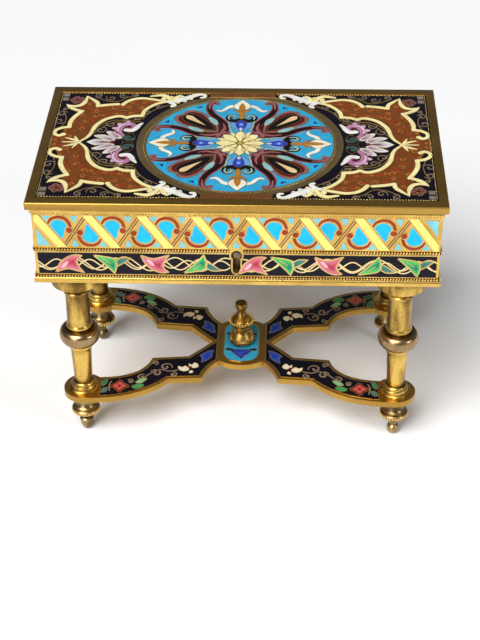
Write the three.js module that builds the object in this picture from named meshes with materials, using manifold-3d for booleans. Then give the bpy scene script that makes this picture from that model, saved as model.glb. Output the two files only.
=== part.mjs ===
// An enamelled gilt brass casket in the form of a small table: a hinged lid and a hollow
// box on four turned legs, which stand on a flat X-shaped stretcher with an urn finial.
// Millimetres, +Z up, front towards -Y, origin on the ground under the middle of the box.
import * as THREE from "three";
import { mergeVertices } from "three/addons/utils/BufferGeometryUtils.js";
import Module from "manifold-3d";

const wasm = await Module();
wasm.setup();

// The lid and the box under it.
const LID_WIDTH = 150;
const LID_DEPTH = 89;
const LID_THICKNESS = 3.1;
const OVERHANG = 2;
const BODY_HEIGHT = 32;
const WALL = 2;
const FLOOR = 1.5;
const SEAM = 0.3;
const EDGE = 0.5;

// The stand.
const FOOT_HEIGHT = 18.4;
const STRETCHER_THICKNESS = 2.4;
const LEG_HEIGHT = 56.8;
const LEG_INSET = 12.15;
const STRETCHER_END_RADIUS = 7.9;

// Two hinges under the lid's rear overhang.
const HINGE_X = 45;
const HINGE_LENGTH = 12;
const LID_KNUCKLE_LENGTH = 4.4;
const KNUCKLE_RADIUS = 0.9;
const KNUCKLE_BORE = 0.5;
const PIN_RADIUS = 0.42;
const KNUCKLE_GAP = 0.2;
const LEAF_HEIGHT = 7.8;
const LEAF_THICKNESS = 0.7;
const TAB_HEIGHT = 2.5;

// The keyhole in the front wall and the lock behind it.
const KEYHOLE_RADIUS = 2;
const KEYHOLE_HEIGHT = 13;
const KEYHOLE_DROP = 7.6;
const KEYHOLE_SLOT = 1.4;
const LOCK = { width: 20, thickness: 4, height: 17, base: 2.2, pocket: 3, pocketMargin: 0.2 };
const LOCK_PIN = { radius: 1.1, setback: 0.5, behind: 0.5 };

// Heights that follow from these.
const bodyWidth = LID_WIDTH - 2 * OVERHANG;
const bodyDepth = LID_DEPTH - 2 * OVERHANG;
const stretcherTop = FOOT_HEIGHT + STRETCHER_THICKNESS;
const bodyBottom = stretcherTop + LEG_HEIGHT;
const bodyTop = bodyBottom + BODY_HEIGHT;
const lidBottom = bodyTop + SEAM;
const legX = bodyWidth / 2 - LEG_INSET;
const legY = bodyDepth / 2 - LEG_INSET;
const hingeY = bodyDepth / 2 + KNUCKLE_GAP + KNUCKLE_RADIUS;
const hingeZ = lidBottom - SEAM - KNUCKLE_RADIUS;

const gilt = new THREE.MeshStandardMaterial({ color: 0xc9983f, roughness: 0.32, metalness: 1 });
const copper = new THREE.MeshStandardMaterial({ color: 0x8d6a4b, roughness: 0.35, metalness: 1 });
const steel = new THREE.MeshStandardMaterial({ color: 0x6f6258, roughness: 0.5, metalness: 1 });
const enamel = new THREE.MeshStandardMaterial({ color: 0x3f6f9c, roughness: 0.25, metalness: 0.2 });

const casket = new THREE.Group();
const stand = new THREE.Group();
casket.add(stand);

function addMesh(name, geometry, material, x = 0, y = 0, z = 0, parent = casket) {
  const mesh = new THREE.Mesh(geometry, material);
  mesh.name = name;
  mesh.position.set(x, y, z);
  parent.add(mesh);
}

// Solids for cutting and joining.
function solidOf(geometry) {
  const bare = geometry.clone();
  bare.deleteAttribute("normal");
  bare.deleteAttribute("uv");
  const merged = mergeVertices(bare, 1e-4);
  return new wasm.Manifold(
    new wasm.Mesh({
      numProp: 3,
      vertProperties: new Float32Array(merged.attributes.position.array),
      triVerts: new Uint32Array(merged.index.array),
    }),
  );
}

function geometryOf(solid) {
  const mesh = solid.getMesh();
  const geometry = new THREE.BufferGeometry();
  geometry.setAttribute("position", new THREE.BufferAttribute(mesh.vertProperties, 3));
  geometry.setIndex(new THREE.BufferAttribute(mesh.triVerts, 1));
  geometry.computeVertexNormals();
  return geometry;
}

// A box given by its lower and upper corners.
function block(low, high) {
  const size = high.map((value, i) => value - low[i]);
  const middle = high.map((value, i) => (value + low[i]) / 2);
  return new THREE.BoxGeometry(...size).translate(...middle);
}

// A cylinder along X.
function rod(radius, length, segments = 16) {
  return new THREE.CylinderGeometry(radius, radius, length, segments).rotateZ(Math.PI / 2);
}

// A rectangular solid whose sides follow a moulding: each level is [inset, height].
function mouldedSlab(width, depth, levels) {
  const corners = [[-1, -1], [1, -1], [1, 1], [-1, 1]];
  const points = levels.flatMap(([inset, z]) =>
    corners.flatMap(([sx, sy]) => [sx * (width / 2 - inset), sy * (depth / 2 - inset), z]),
  );
  const faces = [0, 2, 1, 0, 3, 2];
  for (let level = 0; level < levels.length - 1; level++) {
    for (let side = 0; side < 4; side++) {
      const a = 4 * level + side;
      const b = 4 * level + ((side + 1) % 4);
      faces.push(a, b, b + 4, a, b + 4, a + 4);
    }
  }
  const top = 4 * (levels.length - 1);
  faces.push(top, top + 1, top + 2, top, top + 2, top + 3);
  const geometry = new THREE.BufferGeometry();
  geometry.setAttribute("position", new THREE.Float32BufferAttribute(points, 3));
  geometry.setIndex(faces);
  geometry.computeVertexNormals();
  return geometry;
}

// Points of an elliptical arc in a turned profile, as [radius, height] pairs.
function arc(radius, height, acrossBy, upBy, from, to, steps) {
  return Array.from({ length: steps + 1 }, (_, i) => {
    const angle = THREE.MathUtils.degToRad(from + ((to - from) * i) / steps);
    return [radius + acrossBy * Math.cos(angle), height + upBy * Math.sin(angle)];
  });
}

// A turned solid: the profile runs from the bottom up, and is closed on the axis.
function turned(profile, segments) {
  const bottom = profile[0][1];
  const top = profile[profile.length - 1][1];
  const outline = [[0, bottom], ...profile, [0, top]];
  const points = outline.map(([radius, height]) => new THREE.Vector2(radius, height));
  return new THREE.LatheGeometry(points, segments).rotateX(Math.PI / 2);
}

// The keyhole's outline: a round head with a slot hanging from it.
function keyholePrism(grow, length) {
  const radius = KEYHOLE_RADIUS + grow;
  const slot = KEYHOLE_SLOT + grow;
  const meet = Math.asin(slot / radius);
  const shape = new THREE.Shape();
  shape.absarc(0, 0, radius, -Math.PI / 2 + meet, (3 * Math.PI) / 2 - meet, false);
  shape.lineTo(-slot, -KEYHOLE_DROP + slot);
  shape.absarc(0, -KEYHOLE_DROP + slot, slot, Math.PI, 2 * Math.PI, false);
  const prism = new THREE.ExtrudeGeometry(shape, {
    depth: length,
    bevelEnabled: false,
    curveSegments: 12,
  });
  return prism.rotateX(Math.PI / 2).translate(0, length, 0);
}

// The lid: a slab with eased edges, notched at the back for the hinges' tabs.
function lidGeometry() {
  const slab = mouldedSlab(LID_WIDTH, LID_DEPTH, [
    [EDGE, 0],
    [0, EDGE],
    [0, LID_THICKNESS - EDGE],
    [EDGE, LID_THICKNESS],
  ]);
  let solid = solidOf(slab);
  for (const side of [-1, 1]) {
    const half = LID_KNUCKLE_LENGTH / 2 + KNUCKLE_GAP;
    const notch = block(
      [side * HINGE_X - half, hingeY - KNUCKLE_RADIUS + KNUCKLE_GAP, -1],
      [side * HINGE_X + half, LID_DEPTH / 2 + 1, TAB_HEIGHT - KNUCKLE_RADIUS],
    );
    solid = solid.subtract(solidOf(notch));
  }
  return geometryOf(solid);
}

// The box: four walls and a floor, with an eased bottom edge and the keyhole.
function bodyGeometry() {
  const outside = mouldedSlab(bodyWidth, bodyDepth, [
    [EDGE, 0],
    [0, EDGE],
    [0, BODY_HEIGHT],
  ]);
  const inside = block(
    [-bodyWidth / 2 + WALL, -bodyDepth / 2 + WALL, FLOOR],
    [bodyWidth / 2 - WALL, bodyDepth / 2 - WALL, BODY_HEIGHT + 1],
  );
  const keyhole = keyholePrism(0, WALL + 2);
  keyhole.translate(0, -bodyDepth / 2 - 1, KEYHOLE_HEIGHT);
  return geometryOf(solidOf(outside).subtract(solidOf(inside)).subtract(solidOf(keyhole)));
}

// The lock: a plate behind the keyhole, with a pocket for the key and the pin it turns on.
function lockGeometry() {
  const front = -bodyDepth / 2 + WALL + SEAM;
  const plate = block(
    [-LOCK.width / 2, front, LOCK.base],
    [LOCK.width / 2, front + LOCK.thickness, LOCK.base + LOCK.height],
  );
  const pocket = keyholePrism(LOCK.pocketMargin, LOCK.pocket + 1);
  pocket.translate(0, front - 1, KEYHOLE_HEIGHT);
  const pinFront = -bodyDepth / 2 + LOCK_PIN.setback;
  const pinLength = front + LOCK.thickness - LOCK_PIN.behind - pinFront;
  const pin = new THREE.CylinderGeometry(LOCK_PIN.radius, LOCK_PIN.radius, pinLength, 20);
  pin.translate(0, pinFront + pinLength / 2, KEYHOLE_HEIGHT);
  return geometryOf(solidOf(plate).subtract(solidOf(pocket)).add(solidOf(pin)));
}

// The hinge's fixed half: two knuckles on a leaf that runs down the rear wall, just off it.
function bodyLeafGeometry() {
  const gap = LID_KNUCKLE_LENGTH / 2 + KNUCKLE_GAP;
  const end = HINGE_LENGTH / 2;
  const knuckleLength = end - gap;
  const back = -KNUCKLE_RADIUS + KNUCKLE_GAP / 2;
  const plate = (low, high, top) =>
    solidOf(block([low, back, -LEAF_HEIGHT], [high, back + LEAF_THICKNESS, top]));
  let solid = plate(-end, end, -KNUCKLE_RADIUS - KNUCKLE_GAP);
  for (const side of [-1, 1]) {
    const knuckle = rod(KNUCKLE_RADIUS, knuckleLength);
    knuckle.translate(side * (gap + knuckleLength / 2), 0, 0);
    const web = plate(Math.min(side * gap, side * end), Math.max(side * gap, side * end), 0);
    solid = solid.add(web).add(solidOf(knuckle));
  }
  return geometryOf(solid.subtract(solidOf(rod(KNUCKLE_BORE, HINGE_LENGTH + 2))));
}

// The hinge's moving half: one knuckle with a tab let into the lid's rear edge.
function lidLeafGeometry() {
  const half = LID_KNUCKLE_LENGTH / 2;
  const knuckle = solidOf(rod(KNUCKLE_RADIUS, LID_KNUCKLE_LENGTH));
  const tab = solidOf(block([-half, -KNUCKLE_RADIUS / 2, 0], [half, KNUCKLE_RADIUS, TAB_HEIGHT]));
  return geometryOf(knuckle.add(tab).subtract(solidOf(rod(KNUCKLE_BORE, HINGE_LENGTH))));
}

// One quarter of the stretcher's outline, from the side notch round the arm to the plate's end.
function stretcherQuarter() {
  const v = (x, y) => new THREE.Vector2(x, y);
  const end = v(legX, legY);
  const radius = STRETCHER_END_RADIUS;
  const innerAngle = -135;
  const outerAngle = 97;
  const endSteps = 16;
  const onEnd = (degrees) => {
    const angle = THREE.MathUtils.degToRad(degrees);
    return v(end.x + radius * Math.cos(angle), end.y + radius * Math.sin(angle));
  };
  const sideNotch = v(11.6, 0);
  const innerElbow = v(21, 10.2);
  const innerCorner = v(35.4, 11.6);
  const outerCorner = v(28.4, 25.2);
  const outerElbow = v(15.2, 24.2);
  const endNotch = v(8.6, 12.8);
  const plateEnd = v(0, 15.6);
  const innerSweep = new THREE.CubicBezierCurve(
    innerCorner, v(37.4, 20.4), v(44.5, 24.4), onEnd(innerAngle));
  const outerSweep = new THREE.CubicBezierCurve(
    onEnd(outerAngle), v(48, 38.2), v(36.5, 35), outerCorner);
  const outerCove = new THREE.QuadraticBezierCurve(outerElbow, v(13.2, 16.6), endNotch);
  const plateArc = new THREE.QuadraticBezierCurve(endNotch, v(5, 15.6), plateEnd);
  const roundEnd = Array.from({ length: endSteps - 1 }, (_, i) =>
    onEnd(innerAngle + ((outerAngle - innerAngle) * (i + 1)) / endSteps),
  );
  return [
    sideNotch,
    innerElbow,
    ...innerSweep.getPoints(8),
    ...roundEnd,
    ...outerSweep.getPoints(8),
    ...outerCove.getPoints(5),
    ...plateArc.getPoints(4).slice(1),
  ];
}

function stretcherGeometry() {
  const quarter = stretcherQuarter();
  const mirrored = (sx, sy) => quarter.map((p) => new THREE.Vector2(sx * p.x, sy * p.y));
  const outline = [
    ...mirrored(1, 1),
    ...mirrored(-1, 1).reverse().slice(1),
    ...mirrored(-1, -1).slice(1),
    ...mirrored(1, -1).reverse().slice(1, -1),
  ];
  return new THREE.ExtrudeGeometry(new THREE.Shape(outline), {
    depth: STRETCHER_THICKNESS,
    bevelEnabled: false,
  });
}

// Turned profiles, as [radius, height] pairs from the bottom of each piece.
const SHAFT_HEIGHT = 22;
const KNOP_HEIGHT = 7.2;

const shaftProfile = [
  [6.6, 0],
  [6.6, 0.9],
  ...arc(6.6, 3, 1.8, 1.9, 250, 180, 2),
  [4.8, 3.5],
  [3.4, 3.8],
  [4, 20.1],
  [4.6, 20.4],
  [4.6, SHAFT_HEIGHT],
];

const knopProfile = [
  [4.6, 0],
  [6.2, 0.4],
  [7.2, 1.5],
  [7.75, 2.9],
  [7.85, 4],
  [7.6, 5.4],
  [7, 6.4],
  [6.1, 7],
  [5, KNOP_HEIGHT],
];

const columnFoot = SHAFT_HEIGHT + KNOP_HEIGHT;
const columnHeight = LEG_HEIGHT - columnFoot;
const columnProfile = [
  [5, 0],
  [5, 1.8],
  [4.7, 2.1],
  [4.5, 15.7],
  [4.8, 15.9],
  [4.8, 17.5],
  ...arc(9.4, 17.6, 4.8, 3.7, 180, 90, 4),
  [9.5, 22.3],
  [9, columnHeight - 1.4],
  [10.2, columnHeight - 1.2],
  [10.2, columnHeight],
];

const footCap = [
  [1.5, 7.3],
  [3.4, 8.1],
  [5, 9.1],
  ...arc(4.6, 10.3, 0.9, 0.9, -50, 90, 3),
  ...arc(5.2, 17.4, 2.3, 5.6, 260, 180, 4),
  [3, FOOT_HEIGHT],
];

const ballFootProfile = [...arc(0, 2.332, 2.5, 2.5, -68.9, 53, 5), ...footCap];

const acornFootProfile = [
  [0.9, 0],
  [1.9, 1.2],
  [2.45, 2.9],
  [2.5, 4.4],
  [2.75, 4.6],
  [2.75, 5.4],
  [1.5, 6.4],
  ...footCap,
];

const finialProfile = [
  [3.2, 0],
  [4.5, 0.5],
  [5.2, 1.6],
  [5.35, 2.6],
  [5.05, 3.8],
  [4.3, 5.1],
  [3.5, 6.2],
  [3.1, 7],
  [3.2, 7.8],
  [3.7, 8.1],
  [3.7, 8.7],
  [3.3, 9],
  [4.2, 9.9],
  [4.8, 10.4],
  [4.8, 11.7],
  [4.3, 12],
  [2.4, 12.2],
  [1.9, 13.2],
  [1.4, 16.4],
  [1.6, 17.1],
  [2.4, 18.4],
  [2.55, 19.5],
  [2.4, 20.3],
  [1.6, 20.9],
];

addMesh("lid", lidGeometry(), enamel, 0, 0, lidBottom);
addMesh("casket_body", bodyGeometry(), enamel, 0, 0, bodyBottom);
addMesh("lock", lockGeometry(), steel, 0, 0, bodyBottom);

for (const [side, sign] of [["left", -1], ["right", 1]]) {
  const place = [sign * HINGE_X, hingeY, hingeZ];
  addMesh(`hinge_${side}_body_leaf`, bodyLeafGeometry(), gilt, ...place);
  addMesh(`hinge_${side}_lid_leaf`, lidLeafGeometry(), gilt, ...place);
  addMesh(`hinge_${side}_pin`, rod(PIN_RADIUS, HINGE_LENGTH), steel, ...place);
}

addMesh("stretcher", stretcherGeometry(), enamel, 0, 0, FOOT_HEIGHT, stand);
addMesh("finial", turned(finialProfile, 18), gilt, 0, 0, stretcherTop, stand);

for (const [row, sy] of [["front", -1], ["back", 1]]) {
  for (const [side, sx] of [["left", -1], ["right", 1]]) {
    const corner = new THREE.Group();
    corner.position.set(sx * legX, sy * legY, 0);
    stand.add(corner);
    const place = `${row}_${side}`;
    const foot = place === "front_left" ? acornFootProfile : ballFootProfile;
    addMesh(`foot_${place}`, turned(foot, 12), gilt, 0, 0, 0, corner);
    addMesh(`leg_shaft_${place}`, turned(shaftProfile, 16), gilt, 0, 0, stretcherTop, corner);
    const knopBottom = stretcherTop + SHAFT_HEIGHT;
    addMesh(`leg_knop_${place}`, turned(knopProfile, 18), copper, 0, 0, knopBottom, corner);
    const columnBottom = stretcherTop + columnFoot;
    addMesh(`leg_column_${place}`, turned(columnProfile, 16), gilt, 0, 0, columnBottom, corner);
  }
}

export default casket;
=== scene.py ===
# %% [markdown]
# # An enamelled casket on turned legs
# The casket is gilt brass inlaid with glossy enamel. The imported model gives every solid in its
# right place. This lesson keeps the solids whose shape is right, turns smoother legs, feet and
# finial over the faceted ones, and lays the enamel into the lid, the box and the stretcher.

# %% Load the frame
import math

import bmesh
import bpy
from mathutils import Matrix, Vector


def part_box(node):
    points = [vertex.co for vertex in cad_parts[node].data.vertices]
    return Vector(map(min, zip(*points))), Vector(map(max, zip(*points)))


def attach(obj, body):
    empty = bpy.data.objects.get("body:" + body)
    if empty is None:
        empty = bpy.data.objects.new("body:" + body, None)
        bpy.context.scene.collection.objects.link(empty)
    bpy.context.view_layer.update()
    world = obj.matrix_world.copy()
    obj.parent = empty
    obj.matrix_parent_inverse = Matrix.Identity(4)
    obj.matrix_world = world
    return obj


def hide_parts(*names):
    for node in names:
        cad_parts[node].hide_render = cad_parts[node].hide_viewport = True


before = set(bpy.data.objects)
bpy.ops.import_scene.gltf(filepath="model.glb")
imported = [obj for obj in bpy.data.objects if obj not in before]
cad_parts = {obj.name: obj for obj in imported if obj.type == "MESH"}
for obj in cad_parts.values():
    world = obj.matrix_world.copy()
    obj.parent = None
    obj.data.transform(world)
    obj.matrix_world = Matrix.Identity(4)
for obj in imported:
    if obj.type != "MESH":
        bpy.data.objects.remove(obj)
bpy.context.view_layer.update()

MM = 0.001

# %% [markdown]
# ## Camera, floor and light
# The casket stands on a plain pale floor. Its front is bright and its top is darker, because the
# front mirrors the floor before it and the top mirrors the dim room behind. So a broad soft light
# stands in front, and the world is kept low. The Standard view keeps the enamel's colours as strong
# as they are mixed.

# %% Camera
LENS, SENSOR_WIDTH, NEAREST = 90.07, 36, 0.01
CAMERA_PLACE = Vector((19.74, -524.74, 407.0)) * MM
CAMERA_TURNS = ((2.22, "Z"), (90 - 35.55, "X"), (-0.55, "Z"))


def link(thing):
    bpy.context.scene.collection.objects.link(thing)
    return thing


camera_data = bpy.data.cameras.new("camera")
camera_data.lens, camera_data.sensor_width = LENS, SENSOR_WIDTH
camera_data.clip_start = NEAREST
camera = link(bpy.data.objects.new("camera", camera_data))
stance = Matrix.Translation(CAMERA_PLACE)
for degrees, axis in CAMERA_TURNS:
    stance = stance @ Matrix.Rotation(math.radians(degrees), 4, axis)
camera.matrix_world = stance
bpy.context.scene.camera = camera
print("camera, mm:", [round(1000 * c) for c in CAMERA_PLACE])

# %% Light
MIDDLE = Vector((0, 0, 0.06))
SUN_POWER, SUN_ANGLE, SUN_FROM = 3.5, 40, Vector((-0.35, -0.62, 0.86))
SOFT_LIGHTS = (
    ("front_light", (-0.5, -0.9, 0.35), 0.5, 2.5), ("right_light", (0.8, -0.5, 0.4), 0.3, 2),
)
WORLD_COLOUR, WORLD_POWER = (0.9, 0.94, 1.0, 1), 0.17


def add_light(name, kind, power, direction):
    data = bpy.data.lights.new(name, kind)
    data.energy = power
    light = link(bpy.data.objects.new(name, data))
    light.rotation_euler = direction.to_track_quat("-Z", "Y").to_euler()
    return light


sun = add_light("window_light", "SUN", SUN_POWER, -SUN_FROM)
sun.data.angle = math.radians(SUN_ANGLE)
for name, place, size, power in SOFT_LIGHTS:
    light = add_light(name, "AREA", power, MIDDLE - Vector(place))
    light.location = place
    light.data.shape, light.data.size = "DISK", size
world = bpy.data.worlds.new("studio")
bpy.context.scene.world = world
world.use_nodes = True
background = world.node_tree.nodes["Background"].inputs
background["Color"].default_value = WORLD_COLOUR
background["Strength"].default_value = WORLD_POWER
bpy.context.scene.view_settings.view_transform = "Standard"
print("soft lights", len(SOFT_LIGHTS))


# %% [markdown]
# ## Shader maths
# A finish is easier to read as an expression than as a web of nodes. `Value` wraps a socket and
# turns Python's operators into Math nodes, and `Finish` makes any other node.

# %% Shader maths
class Value:
    def __init__(self, finish, socket):
        self.finish, self.socket = finish, socket

    def maths(self, operation, first, second):
        return self.finish.node("ShaderNodeMath", {"operation": operation}, {0: first, 1: second})

    def __add__(self, other):
        return self.maths("ADD", self, other)

    def __rsub__(self, other):
        return self.maths("SUBTRACT", other, self)

    def __mul__(self, other):
        return self.maths("MULTIPLY", self, other)

    __radd__, __rmul__ = __add__, __mul__


class Finish:
    def __init__(self, name):
        self.material = bpy.data.materials.new(name)
        self.material.use_nodes = True
        self.tree = self.material.node_tree
        self.shader = self.tree.nodes["Principled BSDF"]

    def give(self, socket, value):
        if isinstance(value, Value):
            self.tree.links.new(value.socket, socket)
        else:
            socket.default_value = value

    def node(self, kind, settings=None, inputs=None, output=0):
        made = self.tree.nodes.new(kind)
        for key, value in (settings or {}).items():
            setattr(made, key, value)
        for key, value in (inputs or {}).items():
            self.give(made.inputs[key], value)
        return Value(self, made.outputs[output])

    def attribute(self, name, output):
        return self.node("ShaderNodeAttribute", {"attribute_name": name}, output=output)

    def noise(self, scale, detail, stretch=None):
        where = self.node("ShaderNodeTexCoord", output="Object")
        if stretch:
            where = self.node("ShaderNodeMapping", inputs={"Vector": where, "Scale": stretch})
        inputs = {"Vector": where, "Scale": scale, "Detail": detail}
        return self.node("ShaderNodeTexNoise", inputs=inputs)

    def mix(self, factor, first, second, blend="MIX"):
        settings = {"data_type": "RGBA", "blend_type": blend}
        return self.node("ShaderNodeMix", settings, {0: factor, 6: first, 7: second}, output=2)

    def ramp(self, value, low, high):
        settings = {"clamp": True}
        return self.node("ShaderNodeMapRange", settings, {0: value, 1: low, 2: high})

    def bump(self, height, strength, distance):
        inputs = {"Height": height, "Strength": strength, "Distance": distance}
        self.give(self.shader.inputs["Normal"], self.node("ShaderNodeBump", inputs=inputs))

    def wear(self, **inputs):
        for key, value in inputs.items():
            self.give(self.shader.inputs[key.replace("_", " ")], value)
        return self.material


# %% [markdown]
# ## Finishes
# Old gilding isn't one colour. It is bright where hands and cloth polish it, and browner in
# patches. Fine scratches run through it. In the hollows of the turned pieces, which an attribute
# named hollow marks, the metal is darker: tarnish together with painted shade. The enamel is
# glass: it is glossy, a little mottled, and never perfectly level. Each cell's own colour is stored
# on the mesh in an attribute named tint.

# %% Metal
SPECK_SCALE, SCRATCH_SCALE = 900, 700
TARNISH_AND_SHADE_FACTOR = 0.22
METAL_RELIEF = (0.22, 0.00006)


def metal(name, bright, dull, roughness, grain=(1, 1, 1), patch=95, edges=(0.34, 0.68)):
    finish = Finish(name)
    patches = finish.ramp(finish.noise(patch, 5, grain), *edges)
    specks = finish.ramp(finish.noise(SPECK_SCALE, 4), 0.3, 0.75)
    scratches = finish.noise(SCRATCH_SCALE, 2, grain)
    gilding = finish.mix(patches * 0.75 + specks * 0.25, (*dull, 1), (*bright, 1))
    # Colour in the hollows: tarnish together with painted shade.
    tarnish_and_shade = (*[TARNISH_AND_SHADE_FACTOR * c for c in dull], 1)
    finish.bump(scratches * 0.6 + specks * 0.4, *METAL_RELIEF)
    return finish.wear(
        Base_Color=finish.mix(finish.attribute("hollow", "Fac"), gilding, tarnish_and_shade),
        Roughness=1 - (1 - roughness) * (0.9 + patches * 0.1),
        Metallic=1.0,
    )


gilt = metal("gilt_brass", (0.93, 0.63, 0.16), (0.60, 0.36, 0.08), 0.24)
leg_gilt = metal("turned_gilding", (0.88, 0.58, 0.14), (0.16, 0.085, 0.02), 0.27,
                 (1, 1, 0.2), 170, (0.42, 0.6))
foot_bronze = metal("foot_bronze", (0.50, 0.36, 0.16), (0.13, 0.085, 0.035), 0.3,
                    (1, 1, 0.6), 160, (0.38, 0.6))
lid_gilt = metal("lid_gilding", (0.58, 0.35, 0.075), (0.36, 0.2, 0.04), 0.32, (0.1, 1, 1))
copper = metal("browned_copper", (0.50, 0.34, 0.17), (0.17, 0.095, 0.04), 0.24, (1, 1, 0.5), 110)
ring_bronze = metal("ring_bronze", (0.66, 0.48, 0.22), (0.36, 0.24, 0.1), 0.4)
wire_gold = metal("cloison_gold", (0.90, 0.66, 0.25), (0.60, 0.39, 0.11), 0.28)
# Near-black bronze that paints the shade in grooves and behind the bead ropes.
painted_groove_shade = metal("painted_groove_shade", (0.16, 0.085, 0.02), (0.07, 0.035, 0.01), 0.5)
lock_steel = metal("lock_steel", (0.30, 0.24, 0.19), (0.12, 0.085, 0.06), 0.42)

# %% Enamel
CLOUD_SCALE, GRAIN_SCALE = 260, 1500
MOTTLE, MOTTLE_SHADE = 0.42, (0.45, 0.42, 0.5, 1)
ENAMEL_RELIEF = (0.12, 0.00005)

finish = Finish("glass_enamel")
tint = finish.attribute("tint", "Color")
clouds = finish.ramp(finish.noise(CLOUD_SCALE, 4), 0.28, 0.72)
grains = finish.ramp(finish.noise(GRAIN_SCALE, 3), 0.3, 0.7)
shade = finish.mix(MOTTLE, tint, finish.mix(1.0, tint, MOTTLE_SHADE, "MULTIPLY"))
finish.bump(clouds * 0.7 + grains * 0.3, *ENAMEL_RELIEF)
glass_enamel = finish.wear(
    Base_Color=finish.mix(clouds, shade, tint),
    Roughness=0.16 + grains * 0.12,
    Specular_IOR_Level=0.18,
    Coat_Weight=0.08,
    Coat_Roughness=0.05,
)
print("finishes", len(bpy.data.materials))


# %% Floor
def pick(*pieces):
    """Leaves only these pieces selected, and the last of them active."""
    bpy.ops.object.select_all(action="DESELECT")
    for piece in pieces:
        piece.select_set(True)
        bpy.context.view_layer.objects.active = piece


FLOOR_SIZE, FLOOR_ROUGHNESS = 8, 0.75
FLOOR_SHADES = ((0.88, 0.88, 0.88, 1), (0.92, 0.92, 0.92, 1))

finish = Finish("floor")
floor_finish = finish.wear(
    Base_Color=finish.mix(finish.noise(3, 2), *FLOOR_SHADES), Roughness=FLOOR_ROUGHNESS
)
pick()
bpy.ops.mesh.primitive_plane_add(size=FLOOR_SIZE)
floor = bpy.context.object
floor.name = "floor"
floor.data.materials.append(floor_finish)

# %% [markdown]
# ## Dress the solids that stay
# The box, the lock, the hinges and the stretcher have the right shape already. Each only gets its
# finish.

# %% Dress the solids
kept = {"casket_body": gilt, "stretcher": lid_gilt, "lock": lock_steel}
for side in ("left", "right"):
    kept |= {f"hinge_{side}_{leaf}_leaf": gilt for leaf in ("body", "lid")}
    kept[f"hinge_{side}_pin"] = lock_steel
for name, material in kept.items():
    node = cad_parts[name]
    node.data.materials.clear()
    node.data.materials.append(material)
print("dressed", len(kept), "solids")

# %% [markdown]
# ## Turned work
# Legs, feet and finial are turned on a lathe. In Blender the same shape grows from a disc: extrude
# its face to the next height, scale it to the next radius, and repeat. A point that lies below the
# metal around it is marked as hollow. What repeats is made once, and the others are copies with a
# mesh of their own. Beads are copies too, of one small flattened sphere, joined in one mesh.


# %% Lathe
LATHE_STEPS = 56
# How far the deepest hollow is darkened: tarnish together with painted shade.
DEEPEST_TARNISH_AND_SHADE = 0.9


def arc(radius, height, across, up, start, end, steps):
    angles = [math.radians(start + (end - start) * i / steps) for i in range(steps + 1)]
    return [(radius + across * math.cos(a), height + up * math.sin(a)) for a in angles]


def refined(profile, longest=1.2):
    """The same profile with its long stretches divided."""
    fine = [profile[0]]
    for (r1, h1), (r2, h2) in zip(profile, profile[1:]):
        parts = math.ceil(math.hypot(r2 - r1, h2 - h1) / longest)
        fine += [(r1 + (r2 - r1) * k / parts, h1 + (h2 - h1) * k / parts)
                 for k in range(1, parts + 1)]
    return fine


def hollowness(profile, i, reach=2.2, full=0.9):
    """How far a point lies below the metal around it, as 0 to 1."""
    radius, height = profile[i]
    near_by = [r for r, h in profile if abs(h - height) < reach]
    return min(max((sum(near_by) / len(near_by) - radius) / full, 0), 1)


def apply_place():
    """Moves the active object's place and size into its mesh."""
    bpy.ops.object.transform_apply(location=True, rotation=True, scale=True)


def finish_faces(crease):
    """Turns the active piece's faces outwards, and shades it smooth up to an angle."""
    bpy.ops.object.mode_set(mode="EDIT")
    bpy.ops.mesh.select_all(action="SELECT")
    bpy.ops.mesh.normals_make_consistent(inside=False)
    bpy.ops.object.mode_set(mode="OBJECT")
    bpy.ops.object.shade_smooth_by_angle(angle=math.radians(crease))


def turned(name, profile, centre, base):
    profile = refined(profile)
    x, y = centre
    radius, height = profile[0]
    pick()
    bpy.ops.mesh.primitive_circle_add(
        vertices=LATHE_STEPS, radius=radius * MM, fill_type="NGON",
        location=Vector((x, y, base + height)) * MM,
    )
    piece = bpy.context.object
    piece.name = name
    apply_place()
    bpy.ops.object.mode_set(mode="EDIT")
    bpy.ops.mesh.select_all(action="SELECT")
    for next_radius, next_height in profile[1:]:
        rise = (0, 0, (next_height - height) * MM)
        bpy.ops.mesh.extrude_region_move(TRANSFORM_OT_translate={"value": rise})
        scale = next_radius / radius
        middle = (x * MM, y * MM, (base + next_height) * MM)
        bpy.ops.transform.resize(value=(scale, scale, 1), center_override=middle)
        radius, height = next_radius, next_height
    finish_faces(crease=38)
    hollow = piece.data.attributes.new("hollow", "FLOAT", "POINT")
    for vertex, item in zip(piece.data.vertices, hollow.data):
        far = math.hypot(1000 * vertex.co.x - x, 1000 * vertex.co.y - y)
        up = 1000 * vertex.co.z - base
        i = min(range(len(profile)), key=lambda k: math.dist(profile[k], (far, up)))
        item.value = DEEPEST_TARNISH_AND_SHADE * hollowness(profile, i)
    return piece


def copy_piece(source, name, shift):
    """A copy with a mesh of its own, shifted in millimetres."""
    twin = link(source.copy())
    twin.data = source.data.copy()
    twin.data.transform(Matrix.Translation(Vector(shift) * MM))
    twin.name = name
    return twin


def settle(piece, material, body, slot, *nodes):
    """Gives a finished piece its finish and its body, and hides the nodes it stands for; slot is
    not used.
    """
    piece.data.materials.clear()
    piece.data.materials.append(material)
    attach(piece, body)
    if nodes:
        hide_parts(*nodes)


def new_piece(name, points, faces):
    """A piece from points in metres and faces, selected and active."""
    mesh = bpy.data.meshes.new(name)
    mesh.from_pydata(points, [], faces)
    piece = link(bpy.data.objects.new(name, mesh))
    pick(piece)
    return piece


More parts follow.
